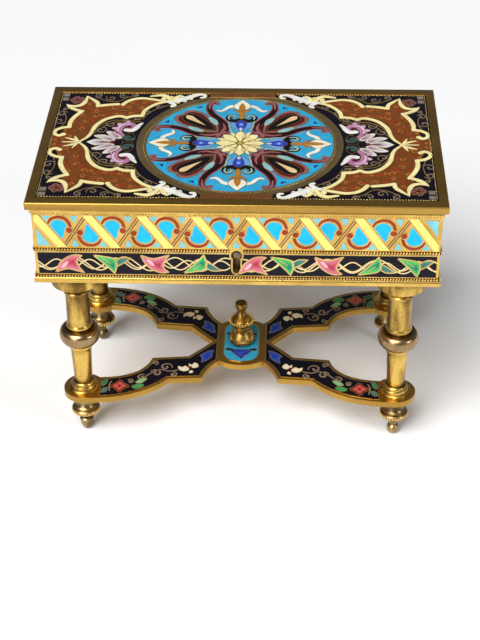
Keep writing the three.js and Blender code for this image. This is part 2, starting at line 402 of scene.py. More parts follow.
# %% Beads
def beads(name, spots, size, material, body, slot):
    """Small flattened beads; each spot is (place, direction along, direction out)."""
    pick()
    bpy.ops.mesh.primitive_uv_sphere_add(segments=8, ring_count=4, radius=1)
    seed = bpy.context.object
    corners = [v.co.copy() for v in seed.data.vertices]
    sides = [tuple(p.vertices) for p in seed.data.polygons]
    bpy.data.objects.remove(seed)
    points, faces = [], []
    for place, along, out in spots:
        along, out = Vector(along).normalized(), Vector(out).normalized()
        across = out.cross(along)
        first = len(points)
        for c in corners:
            offset = along * c.x * size[0] + across * c.y * size[1] + out * c.z * size[2]
            points.append((Vector(place) + offset) * MM)
        faces += [tuple(first + i for i in side) for side in sides]
    piece = new_piece(name, points, faces)
    piece.data.shade_smooth()
    print(name, len(spots), "beads")
    settle(piece, material, body, slot)


def spread(half, pitch):
    """Places spread evenly between the two ends of a side."""
    count = int(2 * half / pitch)
    return [-half + (i + 0.5) * 2 * half / count for i in range(count)]


def ring_spots(centre, radius, height, count):
    spots = []
    for i in range(count):
        a = 2 * math.pi * i / count
        out = (math.cos(a), math.sin(a), 0)
        place = (centre[0] + radius * out[0], centre[1] + radius * out[1], height)
        spots.append((place, (-out[1], out[0], 0), out))
    return spots


# %% [markdown]
# ## Legs
# A leg is three turned pieces: a tapered shaft on a spreading base, a browner knop, and a column
# under a flared capital. The four legs are alike.

# %% Legs
leg_low, leg_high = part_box("leg_shaft_front_right")
LEG_X = 1000 * (leg_low.x + leg_high.x) / 2
LEG_Y = -1000 * (leg_low.y + leg_high.y) / 2
STRETCHER_TOP = 1000 * leg_low.z
KNOP_BASE = 1000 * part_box("leg_knop_front_right")[0].z
COLUMN_BASE = 1000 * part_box("leg_column_front_right")[0].z
CORNERS = {
    f"{row}_{side}": (sx, sy)
    for row, sy in (("front", -1), ("back", 1)) for side, sx in (("left", -1), ("right", 1))
}

shaft_profile = [
    (5.9, 0), (5.9, 0.6), (5.6, 0.95), (5.0, 1.1), (4.95, 1.9), (4.7, 2.3), (4.4, 2.4),
    (4.35, 3.1), (4.05, 3.5), (3.4, 3.7), (3.55, 6), (4, 19.6), (4.15, 19.9), (4.6, 20.2),
    (4.75, 20.7), (4.6, 21.3), (4.3, 21.6), (4.5, 22),
]
knop_profile = [
    (4.6, 0), (5.5, 0.1), (6.2, 0.4), (6.75, 0.9), (7.2, 1.5), (7.5, 2.2), (7.75, 2.9), (7.85, 4),
    (7.78, 4.8), (7.6, 5.4), (7.35, 6), (7, 6.4), (6.6, 6.75), (6.1, 7), (5, 7.2),
]
column_profile = [
    (4.7, 0), (4.95, 0.3), (5.05, 0.9), (4.95, 1.5), (4.65, 1.9), (4.55, 2.3), (4.4, 15.3),
    (4.3, 15.6), (4.6, 15.8), (4.95, 16.2), (5, 16.7), (4.85, 17.2), (4.45, 17.5), (4.5, 17.9),
    *arc(9.3, 17.9, 4.7, 3.5, 178, 90, 10), (9.5, 22.3), (9, 26.2), (10.2, 26.4), (10.2, 27.6),
]
leg_parts = (
    ("leg_shaft", shaft_profile, STRETCHER_TOP, leg_gilt, "gilt"),
    ("leg_knop", knop_profile, KNOP_BASE, copper, "copper_gilt"),
    ("leg_column", column_profile, COLUMN_BASE, leg_gilt, "gilt"),
)
for part, profile, base, material, slot in leg_parts:
    first = turned(f"turned_{part}_front_right", profile, (LEG_X, -LEG_Y), base)
    for corner, (sx, sy) in CORNERS.items():
        piece = first
        if corner != "front_right":
            shift = (sx * LEG_X - LEG_X, sy * LEG_Y + LEG_Y, 0)
            piece = copy_piece(first, f"turned_{part}_{corner}", shift)
        settle(piece, material, "stand", slot, f"{part}_{corner}")
print("legs at", round(LEG_X, 2), round(LEG_Y, 2))

# %% [markdown]
# ## Feet
# Under the stretcher each foot spreads from a narrow neck to a beaded rim and ends in a small
# ball. The front left foot has an acorn instead.

# %% Feet
FOOT_TOP = 1000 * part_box("foot_front_left")[1].z
RIM_RADIUS, RIM_HEIGHT, RIM_BEADS = 5.35, 10.1, 30
foot_cap = [
    (1.5, 7.3), (3.4, 8.1), (5, 9.1), *arc(4.6, 10.3, 0.9, 0.9, -50, 90, 8),
    *arc(5.2, 17.4, 2.3, 5.6, 260, 180, 10), (3, FOOT_TOP),
]
ball_profile = [*arc(0, 2.332, 2.5, 2.5, -68.9, 53, 14), *foot_cap]
acorn_profile = [
    (0.9, 0), (1.9, 1.2), (2.3, 2.1), (2.45, 2.9), (2.5, 4.4), (2.75, 4.6), (2.75, 5.4),
    (2.2, 6), (1.5, 6.4), *foot_cap,
]
rim_spots = []
for corner, (sx, sy) in CORNERS.items():
    centre = (sx * LEG_X, sy * LEG_Y)
    profile = acorn_profile if corner == "front_left" else ball_profile
    foot = turned(f"turned_foot_{corner}", profile, centre, 0)
    settle(foot, foot_bronze, "stand", "gilt", f"foot_{corner}")
    rim_spots += ring_spots(centre, RIM_RADIUS, RIM_HEIGHT, RIM_BEADS)
beads("foot_beading", rim_spots, (0.5, 0.75, 0.3), gilt, "stand", "gilt")

# %% [markdown]
# ## Finial
# A little urn stands on the centre plate: a round belly, a beaded disc, a slender neck and a knob.

# %% Finial
DISC_RADIUS, DISC_HEIGHT, DISC_BEADS = 4.85, 11.35, 26
finial_profile = [
    (3.2, 0), (3.9, 0.15), (4.5, 0.5), (5.2, 1.6), (5.35, 2.6), (5.05, 3.8), (4.3, 5.1),
    (3.5, 6.2), (3.1, 7), (3.2, 7.8), (3.7, 8.1), (3.7, 8.7), (3.3, 9), (4.2, 9.9), (4.8, 10.4),
    (4.8, 11.7), (4.35, 12.3), (3.6, 13), (2.8, 13.8), (2.1, 14.6), (1.65, 15.5), (1.45, 16.2),
    (1.7, 16.6), (2.3, 17.1), (2.5, 17.7), (2.55, 18.7), (2.45, 19.3), (2.15, 19.6), (1.8, 19.65),
]
finial = turned("turned_finial", finial_profile, (0, 0), STRETCHER_TOP)
settle(finial, leg_gilt, "stand", "gilt", "finial")
disc_spots = ring_spots((0, 0), DISC_RADIUS, STRETCHER_TOP + DISC_HEIGHT, DISC_BEADS)
beads("finial_beading", disc_spots, (0.5, 0.62, 0.35), gilt, "stand", "gilt")

# %% [markdown]
# ## The lid
# The lid is one slab. Its top is sunk inside a plain border, to hold the enamel, so the slab is a
# cube whose top face is inset and pushed down. Two notches under the back edge let the hinges in.

# %% The lid
lid_low, lid_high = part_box("lid")
LID_TOP = 1000 * lid_high.z
FIELD_X, FIELD_Y, FIELD_DEPTH = 71.8, 40.2, 0.4
EASING, FIRST_INSET = 0.5, 2.6
HINGE_ROOM = Vector((0.2, 0.2, 0.3)) * MM


def near(value, target):
    return abs(value - target) < 1e-5


def block(low, high):
    """A cube between two corners."""
    pick()
    bpy.ops.mesh.primitive_cube_add(size=1, location=(low + high) / 2)
    cube = bpy.context.object
    cube.scale = high - low
    apply_place()
    return cube


lid = block(lid_low, lid_high)
lid.name = "lid_slab"
easing = lid.modifiers.new("easing", "BEVEL")
easing.width, easing.segments, easing.limit_method = EASING * MM, 3, "ANGLE"
bpy.ops.object.modifier_apply(modifier="easing")
bpy.ops.object.mode_set(mode="EDIT")
bpy.ops.mesh.select_all(action="DESELECT")
bpy.ops.object.mode_set(mode="OBJECT")
for face in lid.data.polygons:
    face.select = face.normal.z > 0.99 and near(face.center.z, lid_high.z)
bpy.ops.object.mode_set(mode="EDIT")
bpy.ops.mesh.inset(thickness=FIRST_INSET * MM, depth=0)
half_x = (lid_high.x - lid_low.x) / 2 - (FIRST_INSET + EASING) * MM
half_y = (lid_high.y - lid_low.y) / 2 - (FIRST_INSET + EASING) * MM
bpy.ops.transform.resize(
    value=(FIELD_X * MM / half_x, FIELD_Y * MM / half_y, 1), center_override=(0, 0, lid_high.z)
)
bpy.ops.mesh.extrude_region_move(TRANSFORM_OT_translate={"value": (0, 0, -FIELD_DEPTH * MM)})
bpy.ops.object.mode_set(mode="OBJECT")

# %% Notches for the hinges
for side in ("left", "right"):
    tab_low, tab_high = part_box(f"hinge_{side}_lid_leaf")
    high = tab_high + HINGE_ROOM
    high.y = lid_high.y + MM
    cutter = block(tab_low - HINGE_ROOM, high)
    notch = lid.modifiers.new("notch", "BOOLEAN")
    notch.operation, notch.object, notch.solver = "DIFFERENCE", cutter, "EXACT"
    bpy.context.view_layer.objects.active = lid
    bpy.ops.object.modifier_apply(modifier="notch")
    bpy.data.objects.remove(cutter)
pick(lid)
bpy.ops.object.shade_smooth_by_angle(angle=math.radians(30))
settle(lid, lid_gilt, "lid", "enamelled_gilt", "lid")
print("lid slab faces", len(lid.data.polygons))

# %% [markdown]
# ## Drawing enamel
# Enamel is glass that was melted into cells between thin gold walls. Each cell here is one flat
# face with its own outline, and each wall is a narrow gold strip. Both are drawn in millimetres on
# a flat panel, laid on a side of the casket, and made solid with the Solidify modifier. Every shape
# has a height over the panel, in millimetres too, and covers what lies lower. Drawing them as faces
# keeps every edge as crisp as the real metal, which a noise pattern couldn't do.


# %% Colours
def tone(red, green, blue):
    """A colour on the 0 to 255 scale, as the linear values that a shader takes."""
    parts = [c / 255 for c in (red, green, blue)]
    return (*[c / 12.92 if c < 0.04045 else ((c + 0.055) / 1.055) ** 2.4 for c in parts], 1)


NAVY, BLACK, RUST = tone(8, 4, 20), tone(20, 6, 8), tone(122, 62, 16)
CREAM, WHITE, OCHRE = tone(250, 236, 168), tone(242, 242, 232), tone(186, 122, 40)
TURQUOISE, PALE_BLUE, SKY = tone(52, 170, 214), tone(122, 196, 208), tone(24, 182, 232)
COBALT, MAROON, ROSE = tone(26, 42, 160), tone(92, 14, 16), tone(150, 96, 98)
DUSK, GREY_GOLD = tone(58, 12, 14), tone(138, 118, 96)
MAUVE, CALYX, CELADON = tone(186, 122, 160), tone(52, 92, 88), tone(156, 192, 184)
BRICK, PINK, CRIMSON = tone(148, 56, 22), tone(216, 130, 144), tone(168, 20, 44)
LEAF_GREEN, TEAL = tone(84, 200, 92), tone(16, 108, 100)
CRIMSON_BROWN, BLUSH = tone(142, 30, 34), tone(232, 178, 186)
PALE_GOLD, GREY_GREEN, FLAME = tone(250, 228, 120), tone(92, 130, 116), tone(150, 54, 18)
DULL_GOLD, AMBER, PLUM = tone(134, 108, 52), tone(190, 112, 48), tone(128, 52, 92)
PALE_YELLOW = tone(250, 236, 150)


# %% Curves
def smooth(points, closed=False, steps=5):
    """A smooth line through a few points."""
    count, line = len(points), []
    for i in range(count if closed else count - 1):
        if closed:
            a, b, c, d = (points[(i + k) % count] for k in (-1, 0, 1, 2))
        else:
            a, b, c, d = (points[min(max(i + k, 0), count - 1)] for k in (-1, 0, 1, 2))
        for step in range(steps):
            t = step / steps
            line.append(tuple(
                b[k] + 0.5 * t * (c[k] - a[k] + t * (
                    2 * a[k] - 5 * b[k] + 4 * c[k] - d[k] + t * (3 * (b[k] - c[k]) + d[k] - a[k])
                )) for k in (0, 1)
            ))
    return line if closed else line + [tuple(points[-1])]


def blob(points, steps=3):
    """A smooth closed outline through a few points."""
    return smooth(points, closed=True, steps=steps)


def chain(*parts):
    """Smooth lines joined at sharp corners, as a closed outline."""
    return [p for part in parts for p in smooth(part)[:-1]]


def both_sides(half):
    """Half an outline that starts and ends on the Y axis, with its mirror image."""
    return half + [(-x, y) for x, y in reversed(half) if x > 1e-6]


def about_x(half):
    """Half an outline that starts and ends on the X axis, with its mirror image."""
    return half + [(x, -y) for x, y in reversed(half[1:-1])]


def flipped(points, x_sign=1, y_sign=1):
    return [(x_sign * x, y_sign * y) for x, y in points]


def moved(points, angle=0.0, shift=(0, 0), flip=1):
    """Points turned, then shifted; flip=-1 mirrors them top to bottom first."""
    c, s = math.cos(math.radians(angle)), math.sin(math.radians(angle))
    return [(shift[0] + c * x - s * y * flip, shift[1] + s * x + c * y * flip) for x, y in points]


def circle(x, y, radius, count=20):
    angles = [2 * math.pi * i / count for i in range(count)]
    return [(x + radius * math.cos(a), y + radius * math.sin(a)) for a in angles]


CURL_IN = 0.86


def scroll(x, y, size, heading, turn, rounds=1.15, count=22):
    """A line that curls in to its middle, and starts on a given side of it."""
    line = []
    for i in range(count + 1):
        t = i / count
        a = math.radians(heading) + turn * 2 * math.pi * rounds * t
        far = size * (1 - CURL_IN * t)
        line.append((x + far * math.cos(a), y + far * math.sin(a)))
    return line


def signed_area(outline):
    pairs = zip(outline, outline[1:] + outline[:1])
    return sum(a[0] * b[1] - b[0] * a[1] for a, b in pairs) / 2


# %% Strips
ROUND_END = 6


def width_at(width, t):
    """A width that is one number, or several spread evenly along the line."""
    if isinstance(width, (int, float)):
        return width
    where = t * (len(width) - 1)
    i = min(int(where), len(width) - 2)
    return width[i] + (width[i + 1] - width[i]) * (where - i)


def strip(line, width, extra=0.0):
    """Points and faces of a flat strip along a line, with round ends."""
    last, left, right = len(line) - 1, [], []
    for i, (x, y) in enumerate(line):
        before, after = line[max(i - 1, 0)], line[min(i + 1, last)]
        dx, dy = after[0] - before[0], after[1] - before[1]
        length = math.hypot(dx, dy) or 1
        half = width_at(width, i / last) / 2 + extra
        left.append((x - dy / length * half, y + dx / length * half))
        right.append((x + dy / length * half, y - dx / length * half))
    points = left + right
    faces = [(i, i + 1, last + 2 + i, last + 1 + i) for i in range(last)]
    for end, sign in ((0, -1), (last, 1)):
        (lx, ly), (rx, ry), (cx, cy) = left[end], right[end], line[end]
        out_x, out_y = sign * (ly - ry) / 2, -sign * (lx - rx) / 2
        first = len(points)
        for k in range(1, ROUND_END):
            a = math.pi * k / ROUND_END
            points.append((
                cx + (lx - cx) * math.cos(a) + out_x * math.sin(a),
                cy + (ly - cy) * math.cos(a) + out_y * math.sin(a),
            ))
        faces.append((end, *range(first, len(points)), last + 1 + end))
    return points, faces


# %% Panels
def flat_piece(name, shapes, thickness, material, body, slot):
    """One piece from flat shapes; each is (points, faces, tints, height, place)."""
    points, faces, tints = [], [], []
    for flat, sides, colours, height, place in shapes:
        first = len(points)
        points += [Vector(place(x, y, height)) * MM for x, y in flat]
        tints += colours
        for side in sides:
            outward = side if signed_area([flat[i] for i in side]) > 0 else side[::-1]
            faces.append(tuple(first + i for i in outward))
    piece = new_piece(name, points, faces)
    tint = piece.data.color_attributes.new("tint", "FLOAT_COLOR", "POINT")
    tint.data.foreach_set("color", [part for colour in tints for part in colour])
    wall = piece.modifiers.new("wall", "SOLIDIFY")
    wall.thickness, wall.offset = thickness * MM, -1
    bpy.ops.object.modifier_apply(modifier="wall")
    print(name, len(shapes), "shapes,", len(piece.data.polygons), "faces")
    settle(piece, material, body, slot)


LEVEL_STEP, LEVELS, COPY_STEP = 0.001, 23, 0.0003


class Panel:
    """Cells, ribbons and gold wires drawn on one or more flat sides."""

    def __init__(self, name, place=None):
        self.name, self.place = name, place
        self.glass, self.wires = [], []

    def add(self, shapes, points, faces, tints, height):
        """Shapes that overlap never share a level, so none flickers through another."""
        level = height + LEVEL_STEP * ((len(self.glass) + len(self.wires)) % LEVELS)
        shapes.append((points, faces, tints, level, self.place))

    def cell(self, outline, height, tint, rim=0.22, core=None, heart=None):
        """Glass in a gold wall; with a core, its colour fades to the heart's at that point."""
        count = len(outline)
        if core:
            points = [core, *outline]
            faces = [(0, i + 1, (i + 1) % count + 1) for i in range(count)]
            tints = [heart] + [tint] * count
        else:
            points, faces, tints = list(outline), [tuple(range(count))], [tint] * count
        self.add(self.glass, points, faces, tints, height)
        if rim:
            self.wire([*outline, outline[0]], rim, height + 0.03)

    def ribbon(self, line, width, height, tint, rim=0.2):
        points, faces = strip(line, width)
        self.add(self.glass, points, faces, [tint] * len(points), height)
        if rim:
            self.wire(line, width, height - 0.03, rim)

    def wire(self, line, width, height, rim=0.0):
        points, faces = strip(line, width, rim)
        self.add(self.wires, points, faces, [WHITE] * len(points), height)

    def ribbons(self, table, height, tint, share=1.0):
        """Smooth ribbons, one for each (points, widths) of a table."""
        for points, widths in table:
            self.ribbon(smooth(points), [share * w for w in widths], height, tint)

    def scrolls(self, table, widths, height, tint, rounds=1.15, count=22):
        """Curls without a wall, one for each (x, y, size, heading, turn) of a table."""
        for x, y, size, heading, turn in table:
            self.ribbon(scroll(x, y, size, heading, turn, rounds, count), widths, height, tint, 0)

    def mark(self):
        return len(self.glass), len(self.wires)

    def repeat(self, mark, transforms):
        """Draws again all that was drawn since a mark, once for each transform."""
        for shapes, start in zip((self.glass, self.wires), mark):
            for points, faces, tints, height, place in shapes[start:]:
                for k, transform in enumerate(transforms, 1):
                    flat = [transform(p) for p in points]
                    shapes.append((flat, faces, tints, height + COPY_STEP * k, place))

    def finish(self, body, thickness=0.1):
        for part, shapes, material in (
            ("enamel", self.glass, glass_enamel), ("cloisons", self.wires, wire_gold),
        ):
            name = f"{self.name}_{part}"
            flat_piece(name, shapes, thickness, material, body, "enamelled_gilt")


OTHER_QUARTERS = (
    lambda p: (-p[0], p[1]), lambda p: (-p[0], -p[1]), lambda p: (p[0], -p[1]),
)


def on_lid(x, y, height):
    return x, y, LID_TOP - FIELD_DEPTH + height


# %% [markdown]
# ## The lid's field
# The ground is nearly black. In each quarter a band of rust brown runs between two cream ribbons
# with sharp cusps, and both ribbons end in a white acanthus scroll beside the medallion. One
# quarter is drawn, and the other three are its mirror images.

# %% Lid field
field = Panel("lid_field", on_lid)
field.cell([(-FIELD_X, -FIELD_Y), (FIELD_X, -FIELD_Y), (FIELD_X, FIELD_Y), (-FIELD_X, FIELD_Y)],
           0.10, NAVY, rim=0.5)
quarter = field.mark()
field.cell(chain(
    [(71.4, 0), (71.4, 2.5), (71.2, 4.6)],
    [(71.2, 4.6), (68.8, 5.4), (67.6, 8), (66.6, 10.6), (65.2, 11.6)],
    [(65.2, 11.6), (65.2, 15.5), (64, 19.8), (61.8, 24.3)],
    [(61.8, 24.3), (63.4, 26.6), (62.2, 29.4), (61.2, 33), (60.6, 35.4)],
    [(60.6, 35.4), (58.4, 33.6), (56.6, 31.4), (56.1, 28.4)],
    [(56.1, 28.4), (52, 29.6), (48, 30), (45.6, 31.2)],
    [(45.6, 31.2), (42.6, 34), (39, 34.9), (35.4, 34.2), (31.6, 33.2), (29.4, 32.6)],
    [(29.4, 32.6), (32.6, 31.2), (35.6, 28.4), (37.8, 24.8), (38.4, 21)],
    [(38.4, 21), (41.2, 20.8), (44.2, 19.2)],
    [(44.2, 19.2), (46.4, 20.4), (49.2, 19.8), (52.4, 17.6), (55.2, 13.2), (56.2, 8.8)],
    [(56.2, 8.8), (57, 5.4), (58.6, 2), (60.4, 0)],
    [(60.4, 0), (66, 0), (71.4, 0)],
), 0.15, RUST)
for line in (
    [(67.4, 2.2), (63.8, 6), (62.4, 11), (61.2, 17), (58.4, 22.4), (53.6, 25)],
    [(62.4, 11), (60.6, 9), (59.6, 6)],
    [(61.4, 16), (58.4, 14.6), (57.2, 11.6)],
    [(59.4, 20.6), (61.2, 22), (60.4, 25.8)],
    [(55.6, 24.4), (57.8, 27), (58.8, 30.6)],
    [(53.6, 25), (48.6, 25.8), (43.8, 25.4), (39.4, 28.4), (36.4, 31.4)],
    [(50.8, 25.6), (49.6, 23), (46.6, 22.6)],
    [(46, 25.6), (47.6, 28.2), (51, 28)],
    [(43.2, 25.6), (42.6, 29), (44, 31.4)],
):
    field.wire(smooth(line), 0.26, 0.20)
field.ribbons((
    ([(66.9, 5.9), (68.4, 4.9), (70.2, 6.0), (70.3, 8.6), (68.3, 10.7), (65.5, 11.6)],
     (2.2, 1.7, 1.7, 1.8)),
    ([(65.3, 11.4), (65.4, 15.5), (64.2, 19.8), (61.9, 24.3)], (1.8, 2, 1.9)),
    ([(61.9, 24.1), (64.6, 25.5), (67.1, 27.6), (68.5, 29.8)], (1.6, 2.2, 0.3)),
    ([(68.2, 29.2), (65, 28.3), (62.5, 29.7), (61.3, 33), (61.2, 36.7)], (0.5, 2, 2, 0.4)),
    ([(61.2, 36.5), (58.7, 33.9), (56.7, 31.3), (56.2, 28.4)], (0.5, 1.9, 1.8)),
    ([(56.3, 28.5), (53.6, 29.3), (50.6, 29.9), (48.5, 30.2)], (1.9, 1.9)),
    ([(46.6, 29.9), (45.2, 32.3), (42.6, 34.5), (39, 35.3), (35.4, 34.5), (31.6, 33.4),
      (28.4, 32.9)], (2, 1.8, 1.7, 1.6)),
    ([(59.8, 0.9), (57.9, 3.4), (56.8, 6), (56.3, 8.6)], (0.9, 1.5, 1.7)),
    ([(56.1, 9.6), (55.2, 13.2), (52.4, 17.6), (49.2, 19.8), (46.4, 20.4), (44.2, 19.2)],
     (1.9, 1.9)),
    ([(44.2, 19.3), (42, 20.5), (40, 20.9), (38.3, 20.9)], (1.9, 1.9)),
    ([(38.3, 20.8), (37.7, 25), (35.4, 28.7), (32.4, 31.4), (28.6, 32.9)], (1.8, 1.7, 1.6)),
), 0.26, CREAM, share=0.86)
field.ribbons((
    ([(30, 32.5), (25.6, 33.6), (21.8, 35.8), (18.8, 38), (16.6, 38.9), (15, 38.1), (15.1, 36.4),
      (16.3, 36.1)], (1.2, 3, 2.6, 2, 1.5, 1.3, 1.1)),
    ([(28.8, 32.6), (27.2, 31), (26.4, 29.6), (27.4, 28.8)], (2, 1.6, 1.4)),
), 0.29, WHITE)
field.ribbons((
    ([(28.2, 33.4), (29.4, 36.2), (31.8, 37.9), (34.2, 37.5), (36, 37)], (1.4, 2.2, 1.6, 1)),
    ([(27, 33.8), (26, 36.2), (24.6, 38)], (1.6, 1.8, 0.6)),
), 0.29, CREAM)

# %% Lobes, curls and leaves of the field
for x, y, angle, length in (
    (25.6, 33, 250, 2.1), (23.2, 34.2, 240, 2.2), (20.9, 35.8, 232, 1.9),
    (27.8, 35.2, 80, 2.2), (24, 36.2, 70, 1.8), (31, 34.6, 100, 1.8),
):
    lobe = both_sides([(0, -1.2), (1.2, 0.3 * length), (0, length)])
    lobe = blob(moved(lobe, angle=angle - 90, shift=(x, y)), 4)
    field.cell(lobe, 0.25, WHITE if y > 34 and x < 26 else CREAM, rim=0.12)
field.scrolls((
    (69.6, 16.4, 2.3, 200, 1), (69.2, 22.2, 2.1, 150, -1), (68.6, 26.4, 1.2, 100, 1),
    (56.4, 37.2, 1.9, 250, 1), (51.6, 35.4, 2.2, 30, -1), (47.2, 37.4, 1.8, 190, 1),
    (42.2, 38.2, 1.5, 10, -1), (40.2, 19, 1.5, 120, 1), (36.6, 24.2, 1.9, 60, -1),
    (32.4, 28.8, 1.6, 140, 1), (53.2, 9.6, 2.5, 110, 1), (49.6, 14.2, 2.2, 60, -1),
    (44.4, 17, 1.4, 20, 1),
), (0.25, 0.5, 0.35), 0.20, GREY_GOLD)
for line in (
    [(58.8, 3), (56, 8.4), (52.8, 14.2), (48.6, 17.2), (43.6, 17.2), (38.6, 18)],
    [(57.4, 3.4), (54.6, 8.4), (51.6, 13.2), (48, 15.8), (43.4, 15.8), (38.4, 16.4)],
    [(38, 18.4), (35.8, 23.4), (32.8, 27), (28.6, 30)],
    [(57.4, 36.4), (53.8, 33.4), (49, 32.6), (45.2, 36), (41.6, 37.8)],
    [(68.6, 11.4), (67.4, 16), (67.8, 20.6), (69.4, 25.6)],
):
    field.ribbon(smooth(line), 0.36, 0.19, DULL_GOLD, rim=0)
for x, y, angle, size in (
    (63.6, 8.4, 70, 1.9), (60.8, 13.6, 200, 1.8), (62.6, 19.2, 90, 1.7), (57.4, 18, 240, 1.9),
    (59.2, 26.8, 60, 1.6), (53, 27.4, 10, 1.7), (51.4, 22.6, 190, 1.9), (45.8, 22.8, 170, 1.7),
    (46.2, 28.6, 20, 1.9), (41, 30.6, 40, 1.8), (41.4, 25.2, 230, 1.5), (36.6, 32, 10, 1.4),
    (66, 2.4, 0, 1.5), (58.2, 31.6, 80, 1.1),
):
    leaf = [(-size, 0), (0, 0.55 * size), (size, 0), (0.3 * size, -0.5 * size)]
    leaf = blob(moved(leaf, angle=angle, shift=(x, y)))
    field.cell(leaf, 0.19, FLAME, rim=0.14)
field.scrolls((
    (64.6, 4.4, 1.5, 10, 1), (66.2, 9.2, 1.1, 120, -1), (60, 10.4, 1.5, 300, 1),
    (64.4, 15.4, 1.3, 80, -1), (59.6, 16.6, 1.4, 200, 1), (61.8, 21.8, 1.5, 10, -1),
    (56.4, 20.8, 1.5, 140, 1), (59.4, 30.4, 1.2, 80, -1), (56, 24.8, 1.4, 250, 1),
    (53.6, 21.6, 1.4, 30, -1), (49.8, 27.6, 1.6, 160, 1), (48.6, 22.2, 1.2, 300, -1),
    (44.4, 27.6, 1.6, 20, 1), (43, 22.8, 1.3, 200, -1), (43.4, 31.6, 1.3, 100, 1),
    (39.2, 27.6, 1.4, 330, -1), (38.6, 31.8, 1.4, 60, 1), (34, 31.2, 1.1, 180, -1),
    (69.6, 1.4, 0.9, 0, 1),
), (0.2, 0.42, 0.3), 0.21, AMBER, 0.9, 14)
FLOWER, FLOWER_SIZE, PETAL_SIZE = (64.6, 33.4), 1.7, 1.35
for k in range(5):
    x, y = moved([(FLOWER_SIZE, 0)], angle=72 * k, shift=FLOWER)[0]
    field.cell(circle(x, y, PETAL_SIZE, 12), 0.2, ROSE, core=(x, y), heart=MAROON, rim=0.16)
field.cell(circle(*FLOWER, 0.9, 12), 0.25, MAROON)
for x, y in ((69.4, 34.2), (69.4, 37.6)):
    field.cell([(x - 1.2, y - 1.2), (x + 1.2, y - 1.2), (x + 1.2, y + 1.2), (x - 1.2, y + 1.2)],
               0.18, tone(132, 122, 122))
field.repeat(quarter, OTHER_QUARTERS)

# %% [markdown]
# ### Palmettes
# Left and right of the medallion a mauve palmette opens from a dark green calyx. Its petals fade
# from mauve at the heart to white at the rim, so those cells fan out from a darker point.

# %% Palmettes
palmettes = field.mark()
for sign in (1, -1):
    for outline, core in (
        ([(50.9, 8.3), (48.4, 8.3), (46, 6.4), (44.4, 3.4), (46.2, 2.6), (49.3, 4.9)], (46.4, 4.4)),
        ([(55.4, 4.9), (52.4, 5.9), (49.4, 4.8), (46.8, 2.4), (48, 0.9), (51.8, 2.2)], (48.4, 2.2)),
    ):
        shape = flipped(blob(outline), 1, sign)
        field.cell(shape, 0.22, WHITE, core=(core[0], sign * core[1]), heart=PLUM)
    lobe = [(44, 4.8), (45.9, 7.6), (46.1, 10.8), (44.4, 13.8), (41.8, 14), (40.8, 12),
            (41.8, 10.6)]
    field.ribbon(flipped(smooth(lobe), 1, sign), (1.4, 2.5, 2.7, 2.4, 1.4), 0.24, MAUVE)
    gleam = [(x + 0.5, y + 0.2) for x, y in smooth(lobe[1:5])]
    field.ribbon(flipped(gleam, 1, sign), (0.4, 0.9, 0.5), 0.255, tone(226, 198, 214), rim=0)
    field.cell(circle(42.6, sign * 11.9, 1.1, 14), 0.27, tone(92, 20, 50), rim=0.16)
    for x, y, angle in ((47.6, 7.4, 5), (48, 10.8, 20), (46.4, 13.9, 55), (43.2, 15.7, 85)):
        frill = blob(both_sides([(0, -1.5), (1.1, -0.2), (0, 1.2)]))
        frill = moved(frill, angle=angle - 90, shift=(x, y))
        field.cell(flipped(frill, 1, sign), 0.235, tone(214, 176, 200), rim=0.14)
    tail = [(43.4, 9.6), (41.2, 9.2), (39.8, 11), (38.9, 13.2), (37.7, 15)]
    field.ribbon(flipped(smooth(tail), 1, sign), (2.2, 2, 1.9, 0.7), 0.27, WHITE)
    calyx = [(43.8, 0), (44.4, 2.6), (43.4, 5.6), (41.6, 7), (40, 5.4), (39.7, 2.4), (40.6, 0)]
    field.cell(flipped(smooth(calyx), 1, sign), 0.28, BLACK)
    curl = scroll(42, 3.7, 2.1, 200, 1, 0.9)
    field.ribbon(flipped(curl, 1, sign), (1.1, 1.2, 0.9), 0.32, CALYX, rim=0.12)
    for spray, widths in (
        ([(60.4, 0.6), (63, 2), (65.8, 3.2)], (0.5, 1.2, 0.4)),
        ([(60.4, 0.4), (61.6, 2.4), (62.4, 4.4)], (0.5, 1, 0.4)),
    ):
        field.ribbon(flipped(smooth(spray), 1, sign), widths, 0.25, CREAM)
tip = smooth([(57.7, 0), (54.6, 2.3), (51.6, 1.9), (49, 1.1), (47.4, 0)])
field.cell(about_x(tip), 0.26, WHITE, core=(50.4, 0), heart=PLUM)
field.ribbon([(47.2, 0), (52.6, 0)], (1.1, 0.3), 0.29, MAROON, rim=0)
field.ribbon([(60, 0), (66.6, 0)], (0.9, 1.4, 0.5), 0.27, CREAM)
field.repeat(palmettes, (lambda p: (-p[0], p[1]),))

# %% [markdown]
# ### Brown panels over the ring
# Above and below the medallion a small brown panel with gold scrolls crosses the bronze ring.

# %% Brown panels
brown = field.mark()
panel = [(-12.8, 36.6), (12.8, 36.6), (12.8, FIELD_Y), (-12.8, FIELD_Y)]
field.cell(panel, 0.33, tone(112, 62, 24))
for k in range(-3, 4):
    curl = [(-1.6, -0.9), (-0.6, 0.8), (0.9, 0.7), (1.1, -0.6), (0.2, -0.6)]
    field.wire(smooth(moved(curl, shift=(3.6 * k, 38.4), flip=1 if k % 2 else -1)), 0.28, 0.37)
field.repeat(brown, (lambda p: (p[0], -p[1]),))
field.finish("lid")

# %% [markdown]
# ## The medallion
# A bronze ring holds a turquoise disc. On it lie a cream rosette, a cobalt drop on each axis
# between curled brackets, a lily beyond it, and four dark red palmettes on the diagonals.

